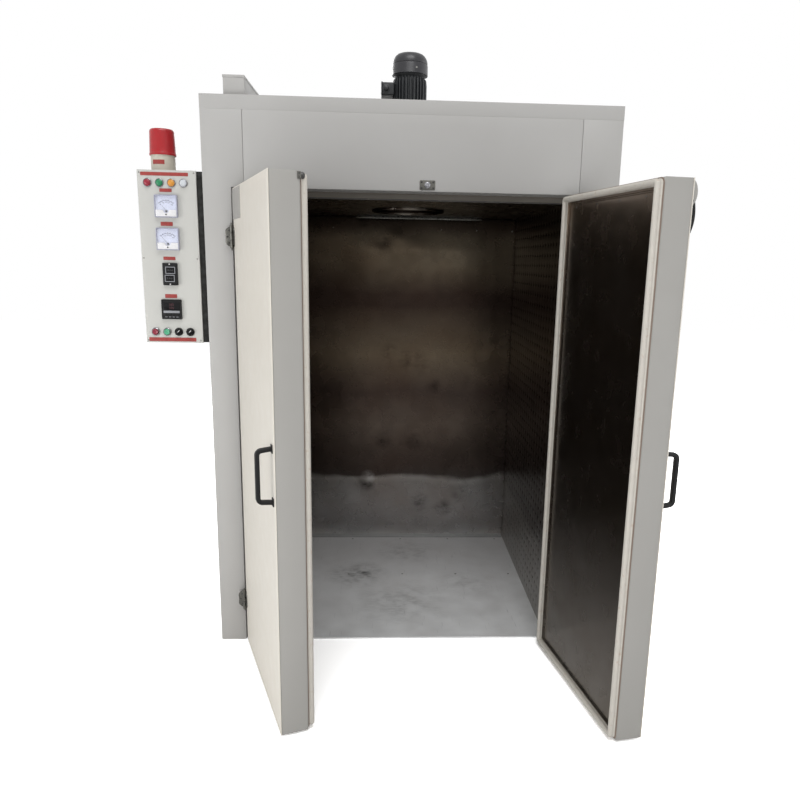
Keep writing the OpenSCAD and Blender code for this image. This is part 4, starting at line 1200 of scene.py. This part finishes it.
def boxPieces(c):
    low, high = span("control_box")
    addPiece("control_box_body", slab(low, high, c["edge"], 60, oilCan(0.5, 400, 1), "x"), greyPaint, "cabinet",
             ["control_box"])
    vents = [(low[0], low[1] + 92, high[2] - 90 - k * c["louvrePitch"]) for k in range(c["louvres"])]
    vents += [(v[0], v[1], low[2] + 90 + k * c["louvrePitch"]) for k, v in enumerate(vents)]
    addPiece("control_box_louvres", copies(louvre(96, 5.5, 13), vents), greyPaint, "cabinet")
    cover = slab(low + [14, high[1] - low[1] - 0.5, 14], high + [-14, 2.2, -14], 1.4, 60, pyramid(1.2), "y")
    spots = [(x, high[1] + 2.1, z) for x in (low[0] + 24, high[0] - 24) for z in np.linspace(low[2] + 26, high[2] - 26, 4)]
    addPiece("control_box_cover", cover, panelPaint, "cabinet")
    addPiece("control_box_cover_screws", copies(crossScrew(3.6, 1.7), spots, toBack), screwSteel, "cabinet")
    # black foam seal, whose black is partly painted shade: it stands for the shade in the gap between the box and the
    # cabinet side
    a, b = span("control_seal")
    addPiece("control_box_seal", slab(a, b, 1.6, 60), foamRubber, "cabinet", ["control_seal"])
    a, b = span("control_pad")
    addPiece("control_box_pad", slab(a, b, 4.0, 24, oilCan(1.0, 120, 3), "yz"), foamRubber, "cabinet",
             ["control_pad"])
    a, b = span("control_panel")
    panel = slab(a, b, c["panelEdge"], 30, oilCan(0.35, 420, 2), "y")
    addPiece("control_front", panel, panelPaint, "cabinet", ["control_panel"])
    spots = [(x, a[1] + 0.1, z) for x in (a[0] + 8, b[0] - 8) for z in (a[2] + 9, (a[2] + b[2]) / 2, b[2] - 9)]
    addPiece("control_front_screws", copies(crossScrew(3.2, 1.5), spots, toFront), screwSteel, "cabinet")


boxPieces(controlBox)

redStrips = {  # bare strips: middle across, height, width, height of the strip
    "rows": [(-885, 1806, 167, 12), (-883, 1751, 43, 12), (-885, 1635, 43, 14), (-882, 1514, 43, 12),
             (-883, 1379, 43, 14), (-885, 1220, 172, 14)],
    "thick": 0.9,
}


def stripPieces(s):
    front = span("control_panel")[0][1]
    parts = [moved(plate(roundedOutline(w, h, 1.5), s["thick"], 0.3), by=(x, front - 0.1, z))
             for x, z, w, h in s["rows"]]
    addPiece("panel_strips", joined(*parts), stripRed, "cabinet")


stripPieces(redStrips)

lampRow = {"across": [-945.0, -903.0, -861.0, -819.0], "high": 1776.0, "radius": 15.0}


def lampPieces(l):
    front = span("control_panel")[0][1]
    r = l["radius"]
    bezel = turnedRing([(r, 0), (r, 3.4), (r - 0.8, 4.6), (r - 1.8, 5.0), (r - 2.8, 4.4), (r - 3.0, 0)], 48)
    spots = [(x, front, l["high"]) for x in l["across"]]
    addPiece("lamp_bezels", copies(bezel, spots, toFront), chromePlate, "cabinet", ["pilot_lamps"])
    # lens: a dome r = R cos t, z = h sin t with a prismatic swell of 24 flutes
    t = np.linspace(0, np.pi / 2 - 0.03, 12)
    dome = [(r - 2.7, 0.2), (r - 2.7, 4.0)] + [((r - 2.9) * math.cos(a), 4.4 + 6.2 * math.sin(a)) for a in t]
    for x, tint, name in zip(l["across"], lampTints, ("red", "green", "amber", "white")):
        lens = moved(turned(dome, 96, 24, 0.35), toFront, (x, front, l["high"]))
        addPiece("lamp_lens_" + name, lens, tint, "cabinet")


lampPieces(lampRow)

meterDetail = {"bezel": 2.6, "needle": {"upper_meter": 6.0, "lower_meter": 4.0}, "marks": 31, "sweep": 88.0,
               "scale": 36.0, "pivotDown": 17.0, "numbers": ("0", "100", "200", "300", "400"), "numberHigh": 5.4}


def flatText(text, high):
    # a filled text curve turned into mesh arrays; x across, z up, facing -Y
    curve = bpy.data.curves.new("figure", "FONT")
    curve.body = text
    curve.size = high * 1.4
    curve.extrude = 0.12
    curve.align_x = "CENTER"
    curve.align_y = "CENTER"
    holder = bpy.data.objects.new("figure", curve)
    bpy.context.scene.collection.objects.link(holder)
    mesh = bpy.data.meshes.new_from_object(holder.evaluated_get(bpy.context.evaluated_depsgraph_get()))
    verts = np.empty(len(mesh.vertices) * 3, np.float32)
    mesh.vertices.foreach_get("co", verts)
    faces = [tuple(p.vertices) for p in mesh.polygons]
    bpy.data.objects.remove(holder)
    bpy.data.curves.remove(curve)
    bpy.data.meshes.remove(mesh)
    return moved((verts.reshape(-1, 3).astype(float), faces), toFront)


def meterPieces(name, m):
    low, high = span(name)
    cx, cz = (low[0] + high[0]) / 2, (low[2] + high[2]) / 2
    w, h, t = high[0] - low[0], high[2] - low[2], high[1] - low[1]
    # case: an outer and an inner outline joined round the front and down into the recess
    outer, inner = roundedOutline(w, h, 4.0, 6), roundedOutline(w - 2 * m["bezel"], h - 2 * m["bezel"], 2.5, 6)
    rings = [(outer, 0), (outer, -(t - 1.5)), (outer * 0.985, -t), (inner * 1.01, -t), (inner, -(t - 1.0)), (inner, -5.0)]
    verts = np.vstack([np.stack([o[:, 0], np.full(len(o), float(y)), o[:, 1]], 1) for o, y in rings])
    n = len(outer)
    faces = [tuple(f) for f in gridFaces(6, n, closeCols=True)[:, ::-1].tolist()]
    faces += [tuple(range(n))[::-1], tuple(range(5 * n, 6 * n))]
    at = (cx, high[1], cz)
    addPiece(name + "_case", moved((verts, faces), by=at), meterCase, "cabinet", [name])
    card = moved(plate(roundedOutline(w - 2 * m["bezel"] - 1, h - 2 * m["bezel"] - 1, 2), 1.0, 0.2), by=(0, -5.2, 0))
    addPiece(name + "_card", moved(card, by=at), dialCard, "cabinet")
    # scale: marks along an arc about the pivot, long ones every fifth, and an arc line under them
    pivot = -m["pivotDown"]
    angle = np.radians(np.linspace(90 + m["sweep"] / 2, 90 - m["sweep"] / 2, m["marks"]))
    parts = []
    for k, a in enumerate(angle):
        long, half = (5.0, 0.55) if k % 5 == 0 else (3.0, 0.3)
        mark = slab((-half, -0.1, 0), (half, 0.15, long), 0.05, 9)
        mark = moved(mark, about("Y", 90 - math.degrees(a)))
        parts.append(moved(mark, by=(m["scale"] * math.cos(a), -6.2, pivot + m["scale"] * math.sin(a))))
    arc = np.stack([m["scale"] * np.cos(angle), np.full(len(angle), -6.2), pivot + m["scale"] * np.sin(angle)], 1)
    parts.append(swept([(0.5, -0.1), (0.5, 0.1), (-0.5, 0.1), (-0.5, -0.1)], arc, up=(0, 1, 0)))
    for k, text in enumerate(m["numbers"]):
        a = angle[int(k * (m["marks"] - 1) / (len(m["numbers"]) - 1))]
        r = m["scale"] - 5.4
        parts.append(moved(flatText(text, m["numberHigh"] * (0.8 if k else 0.9)), by=(r * math.cos(a) * 0.93, -6.2,
                                                                                    pivot + r * math.sin(a))))
    addPiece(name + "_scale", moved(joined(*parts), by=at), dialInk, "cabinet")
    a = math.radians(90 + m["sweep"] / 2 - m["needle"][name])
    needle = moved(prismNeedle(m["scale"] + 1.5), about("Y", 90 - math.degrees(a)), (0, -8.0, pivot))
    hub = turned([(4.2, 0), (4.2, 1.6), (3.2, 2.4), (0.2, 2.6)], 32)
    addPiece(name + "_needle", moved(joined(needle, moved(hub, toFront, (0, -6.2, pivot))), by=at), blackGloss,
             "cabinet")
    # lower cover: white, with a round cut about the pivot and an adjusting screw
    iw = w / 2 - m["bezel"] - 0.6
    cut = np.radians(np.linspace(0, 180, 17))
    outline = np.vstack([[(-iw, -h / 2 + m["bezel"] + 0.6), (iw, -h / 2 + m["bezel"] + 0.6), (iw, pivot + 4)],
                         np.stack([11 * np.cos(cut), pivot + 4 - 11 * np.sin(cut)], 1), [(-iw, pivot + 4)]])
    cover = moved(plate(outline, t - 6.6, 0.7), by=(0, -5.6, 0))
    addPiece(name + "_cover", moved(cover, by=at), whitePlastic, "cabinet")
    screw = moved(crossScrew(3.0, 1.2, turns=32), toFront, (0, -t + 1.2, -h / 2 + m["bezel"] + 7.5))
    addPiece(name + "_cover_screw", moved(screw, by=at), blackNylon, "cabinet")
    window = moved(plate(inner * 0.99, 1.2, 0.2), by=(0, -t + 1.9, 0))
    addPiece(name + "_window", moved(window, by=at), clearWindow, "cabinet")


def prismNeedle(length):
    # four-sided, drawn out to a point: half width 0.45 (1 - z / length)
    verts = np.array([(-0.5, 0.3, -6), (0.5, 0.3, -6), (0.5, -0.3, -6), (-0.5, -0.3, -6),
                      (-0.12, 0.15, length), (0.12, 0.15, length), (0.12, -0.15, length), (-0.12, -0.15, length)])
    return verts, [(0, 1, 2, 3), (7, 6, 5, 4), (0, 4, 5, 1), (1, 5, 6, 2), (2, 6, 7, 3), (3, 7, 4, 0)]


meterPieces("upper_meter", meterDetail)
meterPieces("lower_meter", meterDetail)

relayDetail = {"windowWide": 35.0, "windowHigh": 25.0, "windowUp": (14.0, -15.0), "frame": 2.4, "tabWide": 9.0}


def framePlate(width, height, band, rise, radius=2.0):
    # a raised rectangular frame: outer and inner outlines joined over the top
    o, i = roundedOutline(width, height, radius), roundedOutline(width - 2 * band, height - 2 * band, radius * 0.6)
    rings = [(o, 0.3), (o, -rise * 0.7), (o * 0.985, -rise), (i * 1.02, -rise), (i, -rise * 0.7), (i, 0.3)]
    verts = np.vstack([np.stack([p[:, 0], np.full(len(p), float(y)), p[:, 1]], 1) for p, y in rings])
    return verts, [tuple(f) for f in gridFaces(6, len(o), closeRows=True, closeCols=True)[:, ::-1].tolist()]


def relayPieces(r):
    low, high = span("time_relay")
    w, h, t = high - low
    w, t, h = high[0] - low[0], high[1] - low[1], high[2] - low[2]
    at = ((low[0] + high[0]) / 2, high[1], (low[2] + high[2]) / 2)
    case = plate(roundedOutline(w, h, 3, 5), t, 1.4)
    tabs = [moved(plate(roundedOutline(r["tabWide"] + 8, 5, 1.5), t + 1.2, 0.5), by=(0, 0, s * (h / 2 - 4))) for s in (-1, 1)]
    addPiece("time_relay_case", moved(joined(case, *tabs), by=at), blackNylon, "cabinet",
             ["time_relay"])
    frames, glass, keys, figures = [], [], [], []
    for k, up in enumerate(r["windowUp"]):
        x = 2.0 if k == 0 else -1.0
        frames.append(moved(framePlate(r["windowWide"], r["windowHigh"], r["frame"], 1.2), by=(x, -t, up)))
        glass.append(moved(plate(roundedOutline(r["windowWide"] - 5, r["windowHigh"] - 5, 1.5), 0.5, 0.2),
                           by=(x, -t - 0.1, up)))
        for j in range(3):
            keys.append(moved(plate(roundedOutline(5.4, 8.4, 1), 1.1, 0.3), by=(x - 7 + 7 * j, -t - 0.3, up)))
            figures.append(moved(flatText(str((3 * k + 2 * j) % 10), 3.4), by=(x - 7 + 7 * j, -t - 1.45, up)))
    addPiece("time_relay_frames", moved(joined(*frames), by=at), greyPlastic, "cabinet")
    addPiece("time_relay_glass", moved(joined(*glass), by=at), blackGloss, "cabinet")
    addPiece("time_relay_wheels", moved(joined(*keys), by=at), blackNylon, "cabinet")
    addPiece("time_relay_figures", moved(joined(*figures), by=at), greyPlastic, "cabinet")
    screws = copies(crossScrew(2.6, 1.2, turns=28), [(0, -t - 1.2, s * (h / 2 - 4)) for s in (-1, 1)], toFront)
    addPiece("time_relay_screws", moved(screws, by=at), whitePlastic, "cabinet")


relayPieces(relayDetail)

controllerDetail = {"bezel": 4.0, "keys": 4, "keyWide": 11.0, "keyHigh": 7.0}


def controllerPieces(c):
    low, high = span("temperature_controller")
    w, t, h = high[0] - low[0], high[1] - low[1], high[2] - low[2]
    at = ((low[0] + high[0]) / 2, high[1], (low[2] + high[2]) / 2)
    body = plate(roundedOutline(w, h, 3, 5), t - 1.5, 1.0)
    rim = moved(framePlate(w - 0.6, h - 0.6, c["bezel"], 2.0, 2.6), by=(0, -(t - 1.8), 0))
    addPiece("controller_case", moved(joined(body, rim), by=at), blackNylon, "cabinet",
             ["temperature_controller"])
    glass = moved(plate(roundedOutline(w - 12, 30, 2), 0.7, 0.2), by=(0, -(t - 1.6), 11))
    addPiece("controller_glass", moved(glass, by=at), blackGloss, "cabinet")
    strip = moved(plate(roundedOutline(w - 14, 8.5, 1.2), 0.9, 0.2), by=(0, -(t - 1.6), -9))
    dashes = [moved(plate(roundedOutline(8.5, 1.8, 0.5), 0.5, 0.1), by=(-20 + 13.4 * k, -(t - 1.5), -27.5)) for k in range(4)]
    addPiece("controller_strip", moved(joined(strip, *dashes), by=at), greyPlastic, "cabinet")
    keys = [moved(plate(roundedOutline(c["keyWide"], c["keyHigh"], 2), 1.8, 0.7), by=(-20 + 13.4 * k, -(t - 1.6), -20))
            for k in range(c["keys"])]
    addPiece("controller_keys", moved(joined(*keys), by=at), blackNylon, "cabinet")
    digits = [moved(flatText(v, 9.0), by=(0, -(t - 0.75), z)) for v, z in (("180", 17), ("180", 5))]
    addPiece("controller_figures", moved(joined(*digits), by=at), unlitSegment, "cabinet")


controllerPieces(controllerDetail)

switchRow = {"across": [-945.0, -903.0, -861.0, -819.0], "high": 1248.5, "ring": 15.0, "cap": 10.6}


def switchPieces(s):
    front = span("control_panel")[0][1]
    r = s["ring"]
    ring = turnedRing([(r, 0), (r, 4.4), (r - 1.2, 6.2), (r - 2.6, 6.9), (11.6, 6.6), (11.6, 0)], 56)
    spots = [(x, front, s["high"]) for x in s["across"]]
    addPiece("switch_collars", copies(ring, spots[:2], toFront), chromePlate, "cabinet",
             ["switch_rings"])
    addPiece("selector_collars", copies(ring, spots[2:], toFront), blackNylon, "cabinet")
    # button: a dished cap, z = top - 1.2 * (1 - (r / R) ** 2)
    q = np.linspace(1, 0.02, 9)
    dish = [(s["cap"], -4), (s["cap"], 10.6), (s["cap"] - 0.5, 11.6), (s["cap"] - 1.4, 12.0)]
    dish += [((s["cap"] - 1.8) * v, 11.9 - 1.3 * (1 - v ** 2)) for v in q]
    for k, (node, slot) in enumerate((("red_button", "red_plastic"), ("green_button", "green_plastic"))):
        addPiece(node + "_cap", moved(turned(dish, 48), toFront, spots[k]), buttonTints[k], node, [node])
    grip = plate(roundedOutline(7.2, 20.6, 3.2, 6), 11.2, 1.4)
    base = turned([(s["cap"], -4), (s["cap"], 8.2), (s["cap"] - 0.8, 9.0), (0.2, 9.0)], 48)
    pointer = moved(plate(roundedOutline(2.2, 9.0, 0.8), 0.9, 0.2), by=(0, -11.1, 5.0))
    for k, node in ((2, "left_selector"), (3, "right_selector")):
        x, y, z = spots[k]
        knob = joined(moved(grip, about("Y", 45), (x, y - 8.8, z)), moved(base, toFront, (x, y, z)))
        addPiece(node + "_knob", knob, blackNylon, node, [node])
        addPiece(node + "_pointer", moved(pointer, about("Y", 45), (x, y - 8.8, z)), whitePlastic, node)


switchPieces(switchRow)
print("control box fitted")

beaconDetail = {"flutes": 48, "flute": 0.2, "label": (44, 15)}


def beaconPieces(b):
    low, high = span("beacon_base")
    cx, cy, z = (low[0] + high[0]) / 2, (low[1] + high[1]) / 2, low[2]
    base = turned([(46, 0), (46, 3.6), (44.6, 5), (43.6, 5.6), (43, 8), (42.6, 54), (44, 56), (44, 58), (0.2, 58)], 72)
    addPiece("beacon_foot", moved(base, by=(cx, cy, z)), beigeAbs, "cabinet", ["beacon_base"])
    lensLow = span("beacon_lens")[0][2]
    # lens: a skirt, a seat ring and a slightly drawn-in drum with fine upright flutes and a domed top
    profile = [(46.2, 0), (47, 0.8), (47, 7), (46.2, 8), (45.6, 9.5), (44.8, 30), (43.6, 60), (42.9, 82), (41.6, 87),
               (38.5, 90.2), (30, 91.8), (16, 92.7), (1, 93)]
    lens = turned(profile, 192, b["flutes"], b["flute"])
    addPiece("beacon_drum", moved(lens, by=(cx, cy, lensLow)), redLens, "cabinet", ["beacon_lens"])
    # strip bent round the base: x = R sin a, y = -R cos a over 60 degrees
    w, h = b["label"]
    a = np.linspace(-w / 86, w / 86, 13) + math.radians(-8)
    verts, n = [], 13
    for r in (42.4, 43.9):
        for up in (-h / 2, h / 2):
            verts.append(np.stack([r * np.sin(a), -r * np.cos(a), np.full(n, up)], 1))
    verts = np.vstack(verts)
    inLow, inHigh, outLow, outHigh = (np.arange(n) + k * n for k in range(4))
    faces = []
    for p, q in ((outLow, outHigh), (outHigh, inHigh), (inHigh, inLow), (inLow, outLow)):
        faces += np.stack([p[:-1], p[1:], q[1:], q[:-1]], 1).tolist()
    faces += [[outLow[0], outHigh[0], inHigh[0], inLow[0]], [inLow[-1], inHigh[-1], outHigh[-1], outLow[-1]]]
    label = (verts, [tuple(int(i) for i in f) for f in faces])
    addPiece("beacon_strip", moved(label, by=(cx, cy, z + 33)), stripRed, "cabinet")
    spots = [(cx + 40 * math.cos(v), cy + 40 * math.sin(v), z + 4.6) for v in np.radians([45, 135, 225, 315])]
    addPiece("beacon_screws", copies(crossScrew(2.6, 1.2, turns=24), spots), screwSteel, "cabinet")


beaconPieces(beaconDetail)

motorDetail = {"fins": 28, "core": 62.0, "finOut": 73.0, "bolt": 13.0, "slots": 24}


def motorPieces(m):
    flangeLow, flangeHigh = span("motor_flange")
    bodyLow, bodyHigh = span("motor_body")
    cowlLow, cowlHigh = span("motor_cowl")
    z0, z1 = bodyLow[2], cowlLow[2]
    # housing: radius = core + fin * s(angle) * e(height); s is a steep smooth wave with one crest a
    # fin, e falls to nothing at both ends
    turns = m["fins"] * 12
    a = np.linspace(0, 2 * np.pi, turns, endpoint=False)
    crest = 1 / (1 + np.exp(-9 * (np.cos(m["fins"] * a) - 0.25)))
    up = np.array([0, 15, 17, 22, 30, 100, 170, 190, 198, 206, 209]) / 209 * (z1 - z0)
    ends = np.array([0.9, 0.9, 0, 0.8, 1, 1, 1, 0.8, 0, 0.6, 0.6])
    solid = np.array([1, 1, 0, 0, 0, 0, 0, 0, 0, 1, 1])
    wave = np.where(solid[:, None] == 1, 1.0, crest[None])
    r = m["core"] + (m["finOut"] - m["core"]) * ends[:, None] * wave
    verts = np.stack([r * np.cos(a), r * np.sin(a), np.repeat((z0 + up)[:, None], turns, 1)], -1).reshape(-1, 3)
    faces = [tuple(f) for f in gridFaces(len(up), turns, closeCols=True)[:, ::-1].tolist()]
    last = (len(up) - 1) * turns
    faces += [tuple(range(turns))[::-1], tuple(range(last, last + turns))]
    addPiece("motor_housing", (verts, faces), blackEnamel, "cabinet", ["motor_body"])
    top = flangeHigh[2]
    ring = turned([(83, -7), (83, -1.5), (81.5, 0), (70, 0), (69, 0.6), (0.2, 0.6)], 72)
    foot = slab((flangeLow[0], flangeLow[1], flangeLow[2] + 0.4), (flangeHigh[0], flangeHigh[1], flangeLow[2] + 6), 2.0, 40)
    addPiece("motor_mount", joined(moved(ring, by=(0, 0, top)), foot), blackEnamel, "cabinet",
             ["motor_flange"])
    spots = [(x, y, flangeLow[2] + 6) for x in (-82, 82) for y in (-82, 82)]
    addPiece("motor_mount_bolts", copies(hexBolt(m["bolt"], 7), spots), screwSteel, "cabinet")
    # cowl: a straight skirt, a rolled groove and a dome, with a sunk top
    profile = [(72, 0), (76, 0), (76.4, 1.2), (76, 2.4), (76, 38), (75.2, 40.4), (73.6, 41.6), (73.4, 43),
               (74.6, 44.4), (74.4, 52), (72.6, 60), (69, 68), (63.6, 75.4), (57, 81), (51, 83.8), (48.5, 83.4),
               (48, 80), (0.2, 80)]
    addPiece("motor_fan_cowl", moved(turned(profile, 96), by=(0, 0, cowlLow[2])), cowlEnamel, "cabinet",
             ["motor_cowl"])
    angle = np.arange(m["slots"]) * 2 * np.pi / m["slots"]
    rib = slab((14, -1.6, 0), (48.5, 1.6, 4.2), 1.0, 40)
    parts = [moved(rib, about("Z", math.degrees(v)), (0, 0, cowlLow[2] + 79.8)) for v in angle]
    parts += [moved(turnedRing([(r + 1.6, 0), (r + 1.6, 4), (r + 1.0, 4.6), (r - 1.0, 4.6), (r - 1.6, 4), (r - 1.6, 0)], 64),
                    by=(0, 0, cowlLow[2] + 79.8)) for r in (15.0, 27.0, 39.0)]
    addPiece("motor_cowl_grille", joined(*parts), blackEnamel, "cabinet")
    spots = [(76 * math.cos(v), 76 * math.sin(v), cowlLow[2] + 20) for v in np.radians([20, 110, 200, 290])]
    heads = [moved(crossScrew(4.0, 2.0), np.array(Vector((math.cos(v), math.sin(v), 0)).to_track_quat("Z", "Y").to_matrix()),
                   p) for v, p in zip(np.radians([20, 110, 200, 290]), spots)]
    addPiece("motor_cowl_screws", joined(*heads), screwSteel, "cabinet")
    low, high = span("motor_terminal_box")
    box = slab(low + [4, 1, 1], high - [4, 1, 1], 5, 30)
    lid = slab((low[0] - 0.5, low[1] - 1, low[2] - 1), (low[0] + 6, high[1] + 1, high[2] + 1), 3, 40)
    gland = moved(joined(turned([(11, 0), (11, 6), (9, 8), (9, 12), (6, 14), (0.2, 14)], 32),
                         hexBolt(20, 5)), toFront, ((low[0] + high[0]) / 2 - 8, low[1] + 1.5, (low[2] + high[2]) / 2))
    addPiece("motor_terminal_housing", joined(box, lid, gland), blackEnamel, "cabinet",
             ["motor_terminal_box"])
    spots = [(low[0] - 0.4, y, z) for y in (low[1] + 8, high[1] - 8) for z in (low[2] + 8, high[2] - 8)]
    addPiece("motor_terminal_screws", copies(crossScrew(3.0, 1.5, turns=28), spots, toLeft), screwSteel, "cabinet")


motorPieces(motorDetail)

trunkingDetail = {"lid": 9.0, "lidOut": 1.6, "screwPitch": 120.0}


def trunkingPieces(t):
    low, high = span("roof_trunking")
    channel = slab(low, high - [0, 0, 3], 1.6, 60, oilCan(0.6, 240, 1), "x")
    o = t["lidOut"]
    lid = slab((low[0] - o, low[1] - o, high[2] - t["lid"]), high + [o, o, 0], 1.8, 50, oilCan(0.6, 300, 2), "z")
    lip = [slab((low[0] - 10, low[1] + 4, low[2]), (low[0] + 2, high[1] - 4, low[2] + 1.8), 0.8, 80),
           slab((high[0] - 2, low[1] + 4, low[2]), (high[0] + 10, high[1] - 4, low[2] + 1.8), 0.8, 80)]
    addPiece("trunking_channel", joined(channel, lid, *lip), greyPaint, "cabinet", ["roof_trunking"])
    y = np.arange(low[1] + 40, high[1] - 20, t["screwPitch"])
    spots = [(low[0] - o, v, high[2] - t["lid"] / 2) for v in y]
    addPiece("trunking_screws_left", copies(crossScrew(3.0, 1.5, turns=28), spots, toLeft), screwSteel, "cabinet")
    spots = [(high[0] + o, v, high[2] - t["lid"] / 2) for v in y]
    addPiece("trunking_screws_right", copies(crossScrew(3.0, 1.5, turns=28), spots, toRight), screwSteel, "cabinet")


trunkingPieces(trunkingDetail)
print("motor and beacon made")

# frame nodes that keep their own shape get their finish
keptFinish = {
    greyPaint: ["left_side_wall", "right_side_wall", "back_wall", "roof", "left_front_post", "right_front_post",
                "header", "control_box", "roof_trunking"],
    panelPaint: ["control_panel"],
    backSteel: ["back_liner"],
    ceilingSteel: ["ceiling_sheet"],
    airSteel: ["left_air_wall", "right_air_wall", "inlet_ring", "fan_shroud", "fan_blades",
               "fan_back_plate", "fan_hub"],
    linerSteel: ["left_door_liner", "right_door_liner"],
    floorSteel: ["floor_plate"],
    turnedSteel: ["fan_shaft"],
    blackEnamel: ["motor_flange", "motor_body", "motor_terminal_box"],
    cowlEnamel: ["motor_cowl"],
    nickelPlate: ["left_frame_hinges", "right_frame_hinges", "left_door_hinges", "right_door_hinges"],
    chromePlate: ["keeper", "switch_rings", "latch_body", "pilot_lamps"],
    foamRubber: ["control_seal", "control_pad"],
    beigeAbs: ["beacon_base"],
    meterCase: ["upper_meter", "lower_meter"],
    redLens: ["beacon_lens", "red_button", "green_button"],
    blackNylon: ["time_relay", "temperature_controller", "left_selector", "right_selector", "left_door_handle",
                 "right_door_handle", "latch_lever"],
    doorLitPaint: ["left_door_shell", "right_door_shell"],
    sealSilicone: ["left_door_gasket", "right_door_gasket"],
}
for finish, names in keptFinish.items():
    for name in names:
        nodes[name].data.materials.clear()
        nodes[name].data.materials.append(finish)
print("frame nodes finished")

# floor, white surroundings and lamps
studio = {
    "floorHalf": 14.0,
    "worldLight": 0.40,
    "floorSeen": 2.6,
    "floorLit": 0.85,
    "lamps": {  # place, point aimed at, size, watts
        "key_left": ((-3.8, -3.2, 0.8), (0, 0, 0.8), 2.0, 66),
        "fill_right": ((3.2, -3.6, 1.1), (0, 0, 0.9), 2.2, 22),
        "front_high": ((0.1, -3.4, 6.2), (0, 0, 0.3), 3.0, 155),
        "front_low": ((-0.9, -3.4, 0.4), (-0.2, 0, 0.5), 1.6, 20),
        "back_soft": ((-1.8, 5.0, 3.2), (0, 0, 1.1), 3.0, 120),
        "right_soft": ((5.2, 1.0, 2.4), (0, 0, 1.1), 2.6, 80),
    },
}


def makeStudio(s):
    mesh = bpy.data.meshes.new("studio_floor")
    h = s["floorHalf"]
    mesh.from_pydata([(-h, -h, 0), (h, -h, 0), (h, h, 0), (-h, h, 0)], [], [(0, 1, 2, 3)])
    floor = bpy.data.objects.new("studio_floor", mesh)
    bpy.context.scene.collection.objects.link(floor)
    # matt white paint; the camera sees it brighter than it lights the part, so only its shadow shows
    material = bpy.data.materials.new("studio_floor_white")
    material.use_nodes = True
    tree = material.node_tree
    tree.nodes.clear()
    rays = addNode(tree, "LightPath")
    tone = ranged(tree, rays.outputs["Is Camera Ray"], 0, 1, s["floorLit"], s["floorSeen"])
    shader = addNode(tree, "BsdfDiffuse", links={"Color": tone})
    addNode(tree, "OutputMaterial", links={"Surface": shader.outputs["BSDF"]})
    mesh.materials.append(material)
    world = bpy.data.worlds.new("studio")
    world.use_nodes = True
    tree = world.node_tree
    tree.nodes.clear()
    rays = addNode(tree, "LightPath")
    glossy = addNode(tree, "Math", {"operation": "MAXIMUM"},
                     {0: rays.outputs["Is Camera Ray"], 1: rays.outputs["Is Glossy Ray"]})
    seen = addNode(tree, "Math", {"operation": "MAXIMUM"},
                   {0: glossy.outputs["Value"], 1: rays.outputs["Is Transmission Ray"]})
    strength = ranged(tree, seen.outputs["Value"], 0, 1, s["worldLight"], 1.0)
    background = addNode(tree, "Background", {"Color": (1, 1, 1, 1)}, {"Strength": strength})
    addNode(tree, "OutputWorld", links={"Surface": background.outputs["Background"]})
    bpy.context.scene.world = world
    for name, (spot, aim, size, power) in s["lamps"].items():
        lamp = bpy.data.lights.new(name, "AREA")
        lamp.size = size
        lamp.energy = power
        obj = bpy.data.objects.new(name, lamp)
        obj.location = spot
        obj.rotation_euler = (Vector(aim) - Vector(spot)).to_track_quat("-Z", "Y").to_euler()
        obj.visible_glossy = name != "front_low"  # lights the lower parts without a spot on the back wall
        bpy.context.scene.collection.objects.link(obj)


makeStudio(studio)
print("studio lit")
